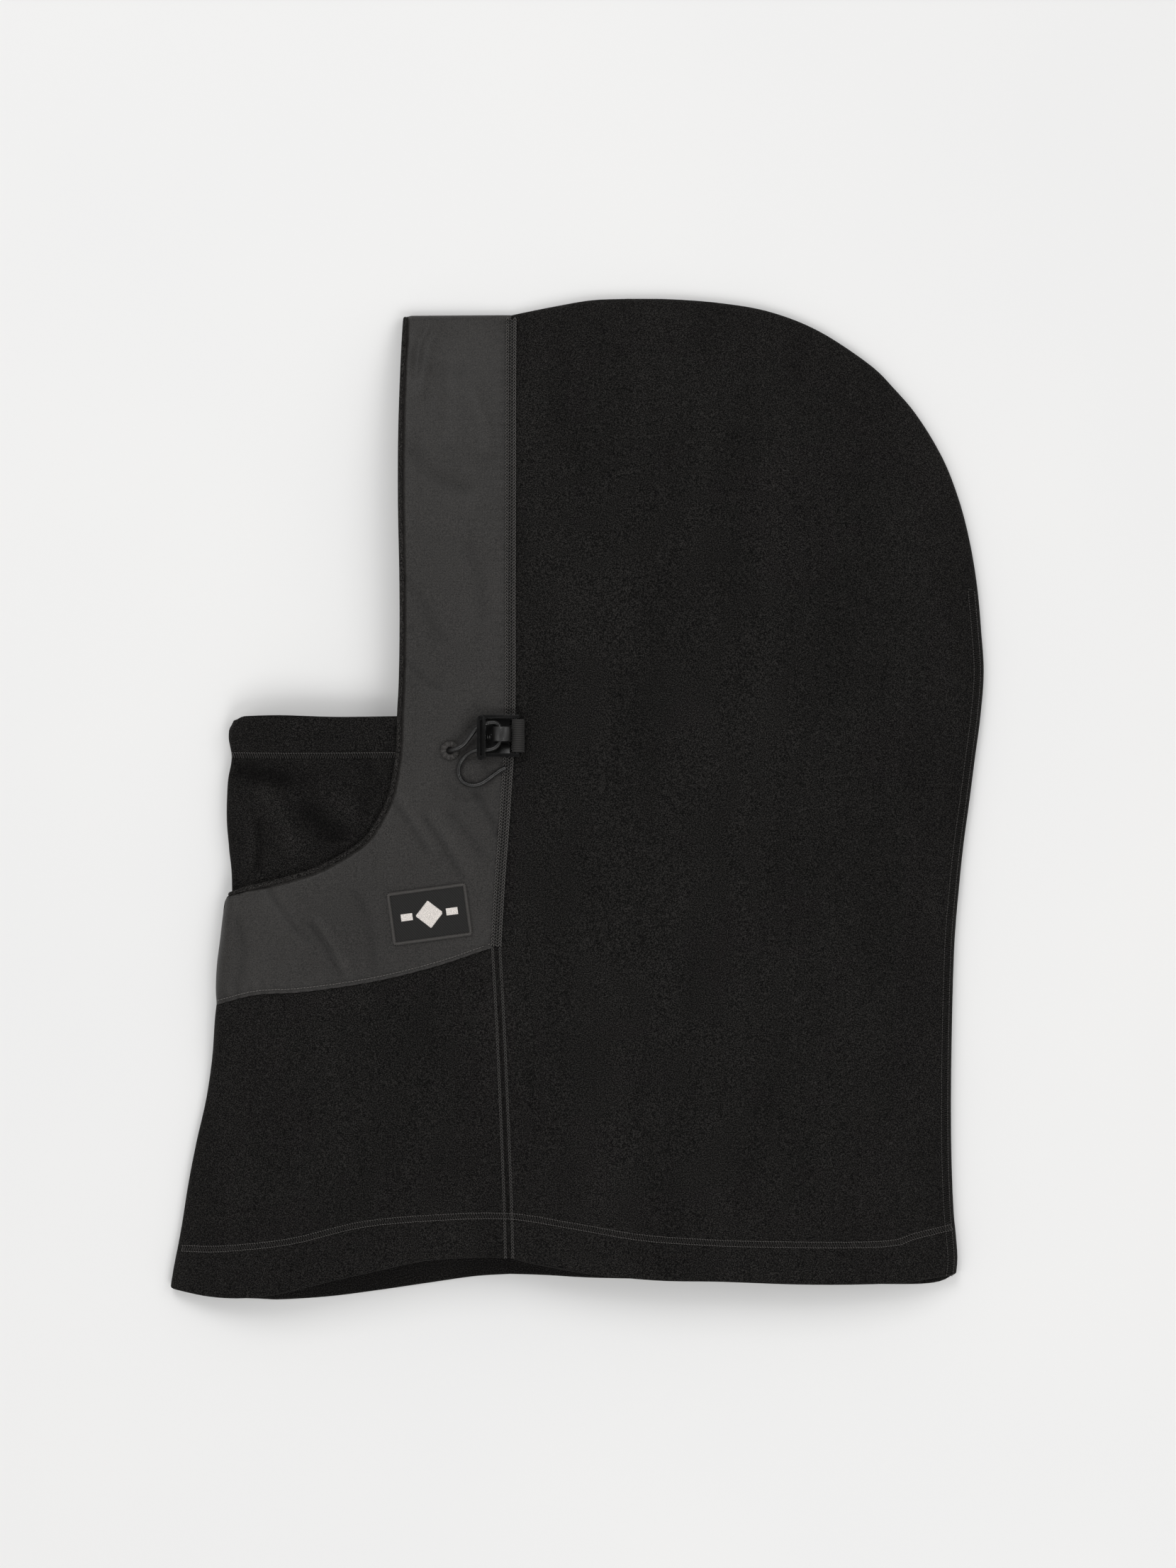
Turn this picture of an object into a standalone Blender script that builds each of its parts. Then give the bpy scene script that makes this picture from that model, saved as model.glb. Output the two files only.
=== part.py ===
"""A balaclava that lies flat on its left-right fold, the wearer's right side on the table.

Every size is in millimetres and becomes metres where a mesh is made. +X points to the back of
the head, +Y to the crown and +Z away from the table. "Left" is the upper layer, "right" the
lower one. Each fabric panel is a closed solid: a grid in plan, given a height and a thickness.
"""
import math

import bmesh
import bpy
from mathutils import Matrix, Vector
from mathutils.geometry import intersect_point_line

MM = 0.001

# Fabric
FLEECE = 2.0
FACING = 1.2
WOVEN = 0.8
GAP = 0.3
MASK_GAP = 0.8
SEAM_GAP = 0.8

# How the upper layer stands off the lower one
PUFF = 16.0
PUFF_REACH = 32.0
UPPER = FLEECE + 2 * GAP
CHIN_LIFT = 5.8
CHIN_FRONT, CHIN_REAR = -140.0, -90.0
CHIN_LOW, CHIN_HIGH = -130.0, -90.0

# The rise of the lower layer over its own adjuster
BUMP = 9.0
BUMP_X = (-65.0, -18.0)
BUMP_Y = (2.0, 42.0)
BUMP_SHOULDER = 10.0

# The channel between band and facing that the elastic runs in
CHANNEL = 2.7
CHANNEL_X = -54.5
CHANNEL_HALF = 20.0
CHANNEL_LOW, CHANNEL_FULL, CHANNEL_HIGH, CHANNEL_END = -10.0, 4.0, 190.0, 213.0

# Plan outlines, each from its lower or left end
FRONT_FOLD = [(-179, -214.5), (-171, -169), (-164, -132), (-159.6, -104), (-158.4, -89.8)]
CHIN_FOLD = [(-158.4, -89.8), (-158.4, -75), (-155.8, -54), (-152.6, -39.2)]
MASK_FOLD = [(-152.6, -80), (-151.6, -36), (-153.8, -5), (-151.8, 19), (-152.4, 36.5)]
BACK_SEAM = [
    (165, -211), (166.2, -180), (164.4, -140), (165.4, -75), (170.6, -17), (178, 41),
    (178.6, 68), (175.4, 98), (168.6, 130), (153, 164.5), (128.5, 192),
]
CROWN = [(-29, 213.3), (5, 219.6), (32, 220.3), (63, 218.6), (96, 211.3), (128.5, 192)]
BAND_TOP = [(-29, 213.3), (-77.7, 213)]
SIDE_SEAM = [(-29.8, -198.7), (-33.6, -92), (-35.2, -63.4), (-31.4, -4), (-29, 40), (-29, 213.3)]
BAND_BOTTOM = [(-158.4, -89.8), (-119, -83.4), (-88, -78.6), (-35.2, -63.4)]
UPPER_HEM_FRONT = [(-179, -214.5), (-146, -217.2), (-109, -209.8), (-66, -200.2), (-29.8, -198.7)]
LOWER_HEM_FRONT = [(-179, -214.5), (-130, -220.3), (-88, -216), (-45, -209.8), (-29.8, -208.8)]
UPPER_HEM_BACK = [(-29.8, -198.7), (5, -205.6), (50, -209), (138, -211.4), (165, -211)]
LOWER_HEM_BACK = [(-29.8, -208.8), (8, -210.6), (95, -212.4), (140, -213.4), (165, -211)]

# The band's cross lines: a point on the face opening and one on the outer edge
BAND_LINES = [
    ((-77.7, 213), (-29, 213.3)), ((-78.4, 190), (-29, 190)), ((-79.1, 160), (-29, 160)),
    ((-79.1, 130), (-29, 130)), ((-78.5, 100), (-29, 100)), ((-78.4, 75), (-29, 75)),
    ((-78.8, 52), (-29, 52)), ((-79.5, 38), (-29, 38)), ((-80.1, 21), (-29.9, 21)),
    ((-82.9, 4), (-31, 4)), ((-87.4, -6.5), (-31.8, -10)), ((-93.8, -15.8), (-33.3, -28)),
    ((-103.4, -22.5), (-34.3, -46)), ((-113, -27.5), (-35.2, -63.4)),
    ((-121, -30.4), (-62, -72)), ((-129, -32.7), (-90, -78.9)), ((-138.5, -35), (-119, -83.4)),
    ((-146, -36.6), (-141, -87)), ((-152.6, -39.2), (-158.4, -89.8)),
]
BAND_COLUMNS = (0, 0.12, 0.3, 0.5, 0.68, 0.86, 1)
FACING_LIP = 2.2

# Heights of the hood's cross lines at the side seam, above the hem's own
HOOD_LINES = (
    -180, -150, -120, -92, -63, -36, -12, 3, 21, 41, 56, 75, 105, 135, 165, 190, 213.3,
)
HOOD_COLUMNS = (0, 0.05, 0.1, 0.17, 0.27, 0.4, 0.55, 0.7, 0.85, 0.94, 1)
NECK_LINES, NECK_COLUMNS = 8, 10
MASK_LINES, MASK_COLUMNS = 9, 8
MASK_REAR_X = -77.5
MASK_LOW_Y, MASK_TOP_Y = -73.0, 36.6

# Label
LABEL_CENTRE = (-64.1, -49.5)
LABEL_TURN = math.radians(7.7)
LABEL_SIZE = (35.2, 23.4)
LABEL_COLUMNS, LABEL_ROWS = 6, 4
LABEL_BORDER = 1.8
LABEL_THICK = 1.0
LABEL_LIFT = 0.4

# Adjuster, placed above the seat plane that lies just off the band
SEAT_GAP = 0.4
SEAT_AT = (-43.0, 28.0)
FLANGE_CENTRE = (-41.4, 27.0)
FLANGE_SIZE = (3.8, 19.4, 8.0)
GROOVE_SIZE = (1.3, 15.6, 1.6)
TRAY = ((-41.0, 18.8, 0.0), (-29.2, 36.9, 1.0))
CHEEK_Y = ((18.8, 20.3), (35.4, 36.9))
CHEEK_REAR_X = -25.0
CHEEK_HEIGHT = 4.4
BAR_X, BAR_Z, BAR_RADIUS = -26.0, 3.0, 0.9
BAR_SHORT = 0.6
BARREL_CENTRE = (-32.6, 28.6, 4.6)
BARREL_SIZE = (7.9, 6.5, 6.6)
BARREL_SLOT = (5.5, 2.8)
CORD_HOLES = ((21.7, 3.2), (31.9, 5.4))
CORD_HOLE_X = (-45.0, -38.0)
CORD_HOLE_HIGH = 3.0
SPRING_Y = 27.2
SPRING_X = (-42.0, -36.9)
SPRING_RADIUS, SPRING_WIRE, SPRING_TURNS = 1.1, 0.22, 5
SPRING_STEPS = 10
SPRING_POCKET = (1.6, 2.8)
POCKET_CUT = 1.0
WEBBING_X = (-28.2, -22.8)
WEBBING_Y = (20.7, 35.0)
WEBBING_Z = (0.6, 5.4)
WEBBING_THICK = 0.9

# Eyelet and cord
EYELET_CENTRE = (-55.2, 21.5)
EYELET_OUTER, EYELET_INNER, EYELET_THICK = 4.0, 1.7, 0.7
HOLE_BELOW, HOLE_ABOVE = 1.0, 2.0
CORD_RADIUS = 1.0
CORD_STEP = 2.0
ELASTIC_LEVELS = (186, 160, 130, 100, 75, 52, 38, 24)
ADJUSTER_CORD = [
    (-55.5, 21.5, -2.6), (-55.4, 21.4, -1.0), (-54.9, 21.5, 0.8), (-53.6, 21.8, 2.1),
    (-51.8, 22.4, 2.7), (-49.7, 23.6, 2.8), (-47.8, 25.5, 3.2), (-46.0, 27.9, 4.0),
    (-44.1, 30.3, 4.6), (-41.8, 32.1, 4.6), (-39.2, 33.2, 4.6), (-36.4, 33.6, 4.6),
    (-34.6, 33.1, 4.6), (-33.6, 31.7, 4.6), (-33.2, 29.8, 4.6), (-33.2, 27.6, 4.6),
    (-33.5, 25.6, 4.6), (-34.3, 23.8, 4.6), (-35.9, 22.5, 4.6), (-38.4, 21.8, 4.6),
    (-41.0, 21.7, 4.6), (-43.6, 21.5, 4.3), (-46.1, 20.7, 3.2), (-48.6, 18.9, 1.8),
    (-50.5, 16.4, 1.1), (-51.4, 13.6, 1.0), (-51.2, 10.7, 1.0), (-49.7, 8.2, 1.0),
    (-47.0, 6.7, 1.0), (-44.1, 6.5, 1.0), (-41.2, 7.4, 1.0), (-38.3, 9.3, 1.0),
    (-35.5, 11.4, 1.0), (-32.9, 13.2, 1.0), (-31.0, 14.0, 0.9),
]

# Looks: colour, roughness and, for steel, how metallic
FLEECE_LOOK = ((0.011, 0.010, 0.009), 0.9)
BAND_LOOK = ((0.042, 0.037, 0.033), 0.6)
THREAD_LOOK = ((0.020, 0.019, 0.018), 0.9)
TWILL_LOOK = ((0.020, 0.019, 0.018), 0.85)
BORDER_LOOK = ((0.085, 0.080, 0.076), 0.8)
PLASTIC_LOOK = ((0.006, 0.006, 0.006), 0.3)
RUBBER_LOOK = ((0.030, 0.028, 0.026), 0.6)
CORD_LOOK = ((0.030, 0.028, 0.026), 0.7)
STEEL_LOOK = ((0.55, 0.55, 0.56), 0.3, 1.0)
WEBBING_LOOK = ((0.050, 0.047, 0.044), 0.85)


def clear_scene():
    for item in list(bpy.data.objects):
        bpy.data.objects.remove(item, do_unlink=True)


def material(name, colour, roughness, metallic=0.0):
    made = bpy.data.materials.new(name)
    made.use_nodes = True
    shader = made.node_tree.nodes["Principled BSDF"]
    shader.inputs["Base Color"].default_value = (*colour, 1.0)
    shader.inputs["Roughness"].default_value = roughness
    shader.inputs["Metallic"].default_value = metallic
    return made


def finished(name, bm, colour, roughness, metallic=0.0):
    """An object from a bmesh that holds millimetres."""
    bmesh.ops.recalc_face_normals(bm, faces=bm.faces[:])
    bmesh.ops.scale(bm, vec=(MM, MM, MM), verts=bm.verts[:])
    mesh = bpy.data.meshes.new(name)
    bm.to_mesh(mesh)
    bm.free()
    mesh.materials.append(material(name, colour, roughness, metallic))
    item = bpy.data.objects.new(name, mesh)
    bpy.context.collection.objects.link(item)
    return item


def modify(item, other, operation):
    """Joins or cuts an object with a helper that stays hidden."""
    other.hide_render = True
    other.display_type = "WIRE"
    step = item.modifiers.new(other.name, "BOOLEAN")
    step.operation = operation
    step.object = other


# Heights

def smooth_step(low, high, value):
    t = min(1.0, max(0.0, (value - low) / (high - low)))
    return t * t * (3 - 2 * t)


def line_distance(point, line):
    best = math.inf
    for start, end in zip(line, line[1:]):
        near, along = intersect_point_line(point, Vector(start), Vector(end))
        near = near.xy if 0 <= along <= 1 else Vector(start if along < 0 else end)
        best = min(best, (point - near).length)
    return best


def lift(x, y):
    """How far the upper layer stands off at a point: nothing at the folds and the back seam."""
    point = Vector((x, y))
    edges = (FRONT_FOLD, CHIN_FOLD, MASK_FOLD[1:], BACK_SEAM, CROWN, BAND_TOP)
    away = min(line_distance(point, edge) for edge in edges)
    chin = smooth_step(CHIN_LOW, CHIN_HIGH, y) * (1 - smooth_step(CHIN_FRONT, CHIN_REAR, x))
    return PUFF * (1 - math.exp(-away / PUFF_REACH)) + CHIN_LIFT * chin


def bump(x, y):
    """The lower layer's rise over the adjuster that lies under it."""
    aside_x = max(BUMP_X[0] - x, 0, x - BUMP_X[1])
    aside_y = max(BUMP_Y[0] - y, 0, y - BUMP_Y[1])
    return BUMP * (1 - smooth_step(0, BUMP_SHOULDER, math.hypot(aside_x, aside_y)))


def channel(x, y):
    """How far the facing stands inward of the band around the elastic."""
    across = max(0.0, 1 - ((x - CHANNEL_X) / CHANNEL_HALF) ** 2)
    along = smooth_step(CHANNEL_LOW, CHANNEL_FULL, y)
    return CHANNEL * across * along * (1 - smooth_step(CHANNEL_HIGH, CHANNEL_END, y))


def upper_panel(x, y):
    return UPPER + lift(x, y)


def upper_band(x, y):
    return upper_panel(x, y) + FACING + GAP


def upper_facing(x, y):
    return upper_panel(x, y) - channel(x, y)


def upper_mask(x, y):
    return upper_panel(x, y) - MASK_GAP - FLEECE


def lower_facing(x, y):
    return bump(x, y) + WOVEN + GAP + channel(x, y)


def lower_mask(x, y):
    return bump(x, y) + WOVEN + GAP + FACING + MASK_GAP


def upper_seat():
    return upper_band(*SEAT_AT) + WOVEN + SEAT_GAP


def lower_seat():
    return BUMP - SEAT_GAP


# Grids

def even(count):
    return [k / count for k in range(count + 1)]


def through(points, fractions):
    """Points at fractions of the length of a smooth curve through the given points."""
    knots = [Vector(p) for p in points]
    knots = [2 * knots[0] - knots[1], *knots, 2 * knots[-1] - knots[-2]]
    spans = [(b - a).length for a, b in zip(knots[1:-1], knots[2:-1])]
    found = []
    for fraction in fractions:
        place = fraction * sum(spans)
        k = 0
        while k < len(spans) - 1 and place > spans[k]:
            place -= spans[k]
            k += 1
        t = place / spans[k]
        a, b, c, d = knots[k:k + 4]
        curve = 2 * b + (c - a) * t + (2 * a - 5 * b + 4 * c - d) * t * t
        found.append((curve + (3 * b - a - 3 * c + d) * t * t * t) / 2)
    return found


def patch(left, right, bottom, top, rows, columns):
    """A grid of plan points between four edges that share their corners."""
    left, right = through(left, rows), through(right, rows)
    bottom, top = through(bottom, columns), through(top, columns)
    grid = []
    for v, start, end in zip(rows, left, right):
        line = []
        for u, below, above in zip(columns, bottom, top):
            corner = bottom[0].lerp(bottom[-1], u).lerp(top[0].lerp(top[-1], u), v)
            line.append(start.lerp(end, u) + below.lerp(above, v) - corner)
        grid.append(line)
    return grid


def inset(grid, sides, amount=SEAM_GAP):
    """Pulls chosen sides of a grid inward: first or last row, first or last column."""
    moved = [[p.copy() for p in line] for line in grid]
    if "first_row" in sides:
        moved[0] = [a + (b - a).normalized() * amount for a, b in zip(grid[0], grid[1])]
    if "last_row" in sides:
        moved[-1] = [a + (b - a).normalized() * amount for a, b in zip(grid[-1], grid[-2])]
    for line in moved:
        if "first_column" in sides:
            line[0] = line[0] + (line[1] - line[0]).normalized() * amount
        if "last_column" in sides:
            line[-1] = line[-1] + (line[-2] - line[-1]).normalized() * amount
    return moved


def layer(name, grid, height, thickness, colour, roughness, ring=False):
    """A closed solid of one fabric layer over a plan grid, a ring where the rows close up."""
    bm = bmesh.new()
    rows = [[bm.verts.new((p.x, p.y, height(p.x, p.y))) for p in line] for line in grid]
    pairs = list(zip(rows, rows[1:]))
    if ring:
        pairs.append((rows[-1], rows[0]))
    for low, high in pairs:
        for k in range(len(low) - 1):
            bm.faces.new((low[k], low[k + 1], high[k + 1]))
            bm.faces.new((low[k], high[k + 1], high[k]))
    grown = bmesh.ops.extrude_face_region(bm, geom=bm.faces[:])["geom"]
    raised = [v for v in grown if isinstance(v, bmesh.types.BMVert)]
    bmesh.ops.translate(bm, verts=raised, vec=(0, 0, thickness))
    return finished(name, bm, colour, roughness)


def flat(x, y):
    return 0.0


# Fabric pieces

def hood_grid(hem):
    low, high = hem[0][1], HOOD_LINES[-1]
    rows = [(y - low) / (high - low) for y in (low, *HOOD_LINES)]
    grid = patch([hem[0], *SIDE_SEAM[1:]], BACK_SEAM, hem, CROWN, rows, HOOD_COLUMNS)
    return inset(grid, ("first_column",))


def make_hood():
    layer("hood_panel_left", hood_grid(UPPER_HEM_BACK), upper_panel, FLEECE, *FLEECE_LOOK)
    layer("hood_panel_right", hood_grid(LOWER_HEM_BACK), bump, FLEECE, *FLEECE_LOOK)


def neck_grid(hem):
    seam = [hem[-1], *SIDE_SEAM[1:3]]
    grid = patch(FRONT_FOLD, seam, hem, BAND_BOTTOM, even(NECK_LINES), even(NECK_COLUMNS))
    return inset(grid, ("last_row", "last_column"))


def make_neck():
    layer("neck_panel_left", neck_grid(UPPER_HEM_FRONT), upper_panel, FLEECE, *FLEECE_LOOK)
    layer("neck_panel_right", neck_grid(LOWER_HEM_FRONT), flat, FLEECE, *FLEECE_LOOK)


def band_grid():
    lines = [(Vector(start), Vector(end)) for start, end in BAND_LINES]
    grid = [[start.lerp(end, u) for u in BAND_COLUMNS] for start, end in lines]
    return inset(grid, ("last_column",), GAP / 2)


def facing_grid():
    """The band's own grid, so that the two nest, and a lip that shows past its opening edge."""
    return [[a + (a - b).normalized() * FACING_LIP, a, b, *rest] for a, b, *rest in band_grid()]


def eyelet_hole(name, level):
    """A cutter through fabric whose lower face is at a level."""
    low, high = level - HOLE_BELOW, level + HOLE_ABOVE
    bm = bmesh.new()
    middle = Matrix.Translation((*EYELET_CENTRE, (low + high) / 2))
    bmesh.ops.create_cone(
        bm, cap_ends=True, segments=16, radius1=EYELET_INNER, radius2=EYELET_INNER,
        depth=high - low, matrix=middle,
    )
    return finished(name, bm, *THREAD_LOOK)


def make_band():
    upper = layer("face_band_left", band_grid(), upper_band, WOVEN, *BAND_LOOK)
    lower = layer("face_band_right", band_grid(), bump, WOVEN, *BAND_LOOK)
    modify(upper, eyelet_hole("hole_left", upper_band(*EYELET_CENTRE)), "DIFFERENCE")
    modify(lower, eyelet_hole("hole_right", BUMP), "DIFFERENCE")
    lining = facing_grid()
    layer("band_facing_left", lining, upper_facing, FACING, *FLEECE_LOOK)
    layer("band_facing_right", lining, lower_facing, FACING, *FLEECE_LOOK)


def make_mask():
    top = [(MASK_FOLD[-1][0], MASK_TOP_Y), (MASK_REAR_X, MASK_TOP_Y)]
    bottom = [MASK_FOLD[0], (MASK_REAR_X, MASK_LOW_Y)]
    front = [*MASK_FOLD[:-1], top[0]]
    rear = [bottom[-1], top[-1]]
    grid = patch(front, rear, bottom, top, even(MASK_LINES), even(MASK_COLUMNS))
    layer("mask_panel_left", grid, upper_mask, FLEECE, *FLEECE_LOOK)
    layer("mask_panel_right", grid, lower_mask, FLEECE, *FLEECE_LOOK)


def label_point(across, up):
    turn = Matrix.Rotation(LABEL_TURN, 2)
    return Vector(LABEL_CENTRE) + turn @ Vector((across, up))


def label_height(x, y):
    return upper_band(x, y) + WOVEN + LABEL_LIFT


def make_label():
    wide, high = (size / 2 - LABEL_BORDER for size in LABEL_SIZE)
    across = [2 * u - 1 for u in even(LABEL_COLUMNS)]
    up = [2 * v - 1 for v in even(LABEL_ROWS)]
    grid = [[label_point(x * (wide - GAP), y * (high - GAP)) for x in across] for y in up]
    layer("label_patch", grid, label_height, LABEL_THICK, *TWILL_LOOK)
    corners = [(x, -1) for x in across[:-1]] + [(1, y) for y in up[:-1]]
    corners += [(-x, -y) for x, y in corners]
    border = [
        [label_point(x * (wide + d), y * (high + d)) for d in (0, LABEL_BORDER)]
        for x, y in corners
    ]
    layer("label_border", border, label_height, LABEL_THICK, *BORDER_LOOK, ring=True)


# Adjuster, made on the upper side and mirrored to the lower one

def box(name, low, high):
    bm = bmesh.new()
    bmesh.ops.create_cube(bm, size=1)
    middle = [(a + b) / 2 for a, b in zip(low, high)]
    bmesh.ops.scale(bm, vec=[b - a for a, b in zip(low, high)], verts=bm.verts[:])
    bmesh.ops.translate(bm, vec=middle, verts=bm.verts[:])
    return finished(name, bm, *PLASTIC_LOOK)


def oval(wide, high, count=24):
    """A stadium outline, longer in its second direction or its first, about the origin."""
    radius = min(wide, high) / 2
    points = []
    for k in range(count):
        angle = 2 * math.pi * (k + 0.5) / count
        x, y = math.cos(angle), math.sin(angle)
        shift_x = math.copysign(wide / 2 - radius, x)
        shift_y = math.copysign(high / 2 - radius, y)
        points.append((radius * x + shift_x, radius * y + shift_y))
    return points


def prism(name, outline, axis, start, length, colour, roughness, hole=None):
    """An outline swept along X, Y or Z, with an optional second outline as its hole."""
    place = {
        "X": lambda a, b, s: (s, a, b),
        "Y": lambda a, b, s: (a, s, b),
        "Z": lambda a, b, s: (a, b, s),
    }[axis]
    bm = bmesh.new()
    outer = [bm.verts.new(place(a, b, start)) for a, b in outline]
    if hole:
        inner = [bm.verts.new(place(a, b, start)) for a, b in hole]
        for k in range(len(outer)):
            after = (k + 1) % len(outer)
            bm.faces.new((outer[k], outer[after], inner[after], inner[k]))
    else:
        bm.faces.new(outer)
    grown = bmesh.ops.extrude_face_region(bm, geom=bm.faces[:])["geom"]
    raised = [v for v in grown if isinstance(v, bmesh.types.BMVert)]
    bmesh.ops.translate(bm, verts=raised, vec=place(0, 0, length))
    return finished(name, bm, colour, roughness)


def moved(outline, by):
    return [(a + by[0], b + by[1]) for a, b in outline]


def make_housing(seat):
    outline = moved(oval(*FLANGE_SIZE[:2]), FLANGE_CENTRE)
    name = "cord_lock_housing_left"
    housing = prism(name, outline, "Z", seat, FLANGE_SIZE[2], *PLASTIC_LOOK)
    low, high = TRAY
    base = box("tray", (*low[:2], seat + low[2]), (*high[:2], seat + high[2]))
    modify(housing, base, "UNION")
    for k, (near, far) in enumerate(CHEEK_Y):
        start = (TRAY[0][0], near, seat)
        cheek = box(f"cheek_{k}", start, (CHEEK_REAR_X, far, seat + CHEEK_HEIGHT))
        modify(housing, cheek, "UNION")
    circle = moved(oval(2 * BAR_RADIUS, 2 * BAR_RADIUS, 12), (BAR_X, seat + BAR_Z))
    start, end = CHEEK_Y[0][0] + BAR_SHORT, CHEEK_Y[1][1] - BAR_SHORT
    bar = prism("bar", circle, "Y", start, end - start, *PLASTIC_LOOK)
    modify(housing, bar, "UNION")
    groove = moved(oval(*GROOVE_SIZE[:2]), FLANGE_CENTRE)
    bottom = seat + FLANGE_SIZE[2] - GROOVE_SIZE[2]
    cutter = prism("groove", groove, "Z", bottom, 2 * GROOVE_SIZE[2], *PLASTIC_LOOK)
    modify(housing, cutter, "DIFFERENCE")
    middle = seat + BARREL_CENTRE[2]
    for k, (y, wide) in enumerate(CORD_HOLES):
        slot = moved(oval(wide, CORD_HOLE_HIGH, 16), (y, middle))
        start, end = CORD_HOLE_X
        cutter = prism(f"cord_hole_{k}", slot, "X", start, end - start, *PLASTIC_LOOK)
        modify(housing, cutter, "DIFFERENCE")
    radius, deep = SPRING_POCKET
    pocket = moved(oval(2 * radius, 2 * radius, 12), (SPRING_Y, middle))
    rear = FLANGE_CENTRE[0] + FLANGE_SIZE[0] / 2
    cutter = prism("pocket", pocket, "X", rear - deep, deep + POCKET_CUT, *PLASTIC_LOOK)
    modify(housing, cutter, "DIFFERENCE")
    return housing


def make_button(seat):
    x, y, z = BARREL_CENTRE
    wide, long, high = BARREL_SIZE
    start = y - long / 2
    ring = [(x + wide / 2 * math.cos(a), seat + z + high / 2 * math.sin(a)) for a in turns(24)]
    slot = moved(oval(*BARREL_SLOT, 24), (x, seat + z))
    slot = slot[-1:] + slot[:-1]
    name = "cord_lock_button_left"
    return prism(name, ring, "Y", start, long, *RUBBER_LOOK, hole=slot)


def turns(count):
    return [2 * math.pi * k / count for k in range(count)]


def make_webbing(seat):
    wide = WEBBING_X[1] - WEBBING_X[0]
    high = WEBBING_Z[1] - WEBBING_Z[0]
    middle = (sum(WEBBING_X) / 2, seat + sum(WEBBING_Z) / 2)
    outer = moved(oval(wide, high), middle)
    inner = moved(oval(wide - 2 * WEBBING_THICK, high - 2 * WEBBING_THICK), middle)
    length = WEBBING_Y[1] - WEBBING_Y[0]
    name = "webbing_tab_left"
    return prism(name, outer, "Y", WEBBING_Y[0], length, *WEBBING_LOOK, hole=inner)


def make_eyelet(seat):
    outer = [(EYELET_OUTER * math.cos(a), EYELET_OUTER * math.sin(a)) for a in turns(20)]
    inner = [(EYELET_INNER * math.cos(a), EYELET_INNER * math.sin(a)) for a in turns(20)]
    outer, inner = moved(outer, EYELET_CENTRE), moved(inner, EYELET_CENTRE)
    start = seat - SEAT_GAP + GAP
    return prism("eyelet_left", outer, "Z", start, EYELET_THICK, *THREAD_LOOK, hole=inner)


def tube(name, points, radius, resolution, colour, roughness, metallic=0.0):
    """A round cord or wire along points in millimetres."""
    curve = bpy.data.curves.new(name, "CURVE")
    curve.dimensions = "3D"
    curve.bevel_depth = radius * MM
    curve.bevel_resolution = resolution
    curve.use_fill_caps = True
    spline = curve.splines.new("POLY")
    spline.points.add(len(points) - 1)
    for knot, point in zip(spline.points, points):
        knot.co = (*(Vector(point) * MM), 1)
    curve.materials.append(material(name, colour, roughness, metallic))
    item = bpy.data.objects.new(name, curve)
    bpy.context.collection.objects.link(item)
    return item


def route_length(points):
    return sum((Vector(b) - Vector(a)).length for a, b in zip(points, points[1:]))


def make_adjuster_cord(seat):
    route = [(x, y, seat + z) for x, y, z in ADJUSTER_CORD]
    count = round(route_length(route) / CORD_STEP)
    points = through(route, even(count))
    return tube("adjuster_cord_left", points, CORD_RADIUS, 2, *CORD_LOOK)


def make_spring(seat):
    start, end = SPRING_X
    steps = SPRING_TURNS * SPRING_STEPS
    points = []
    for k in range(steps + 1):
        angle = 2 * math.pi * k / SPRING_STEPS
        x = start + SPRING_WIRE + (end - start - 2 * SPRING_WIRE) * k / steps
        y = SPRING_Y + SPRING_RADIUS * math.cos(angle)
        points.append((x, y, seat + BARREL_CENTRE[2] + SPRING_RADIUS * math.sin(angle)))
    return tube("cord_lock_spring_left", points, SPRING_WIRE, 1, *STEEL_LOOK)


def mirror_down(item, seat):
    """The lower side's copy of an upper piece, turned over about a level plane."""
    graph = bpy.context.evaluated_depsgraph_get()
    mesh = bpy.data.meshes.new_from_object(item.evaluated_get(graph), depsgraph=graph)
    over = Matrix.Translation((0, 0, (seat + lower_seat()) * MM)) @ Matrix.Scale(-1, 4, (0, 0, 1))
    mesh.transform(over)
    mesh.flip_normals()
    copy = bpy.data.objects.new(item.name.replace("_left", "_right"), mesh)
    bpy.context.collection.objects.link(copy)


def make_adjusters():
    seat = upper_seat()
    makers = (
        make_housing, make_button, make_spring, make_webbing, make_eyelet, make_adjuster_cord,
    )
    pieces = [make(seat) for make in makers]
    bpy.context.view_layer.update()
    for piece in pieces:
        mirror_down(piece, seat)


def make_elastic():
    """The elastic inside the band, from its bar tack below the crown to just short of the eyelet.

    It turns where the band's own cross lines are, so that it stays parallel to the fabric.
    """
    middle = CORD_RADIUS + (CHANNEL + GAP - 2 * CORD_RADIUS) / 2
    upper = [(CHANNEL_X, y, upper_band(CHANNEL_X, y) - middle) for y in ELASTIC_LEVELS]
    lower = [(CHANNEL_X, y, bump(CHANNEL_X, y) + WOVEN + middle) for y in ELASTIC_LEVELS]
    tube("elastic_cord_left", upper, CORD_RADIUS, 2, *CORD_LOOK)
    tube("elastic_cord_right", lower, CORD_RADIUS, 2, *CORD_LOOK)


def main():
    clear_scene()
    make_hood()
    make_neck()
    make_band()
    make_mask()
    make_label()
    make_adjusters()
    make_elastic()


main()
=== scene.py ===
"""A balaclava that lies flat on its side: looks.

Plan sizes are in millimetres and become metres where a mesh or curve is made. +X points to the
back of the head, +Y to the crown and +Z away from the table. Fabric is made as grids of points:
the outer face of each piece, given a thickness along its own normals. Sewing is thread.
"""
import math

import bmesh
import bpy
import numpy as np
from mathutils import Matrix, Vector, noise


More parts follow.
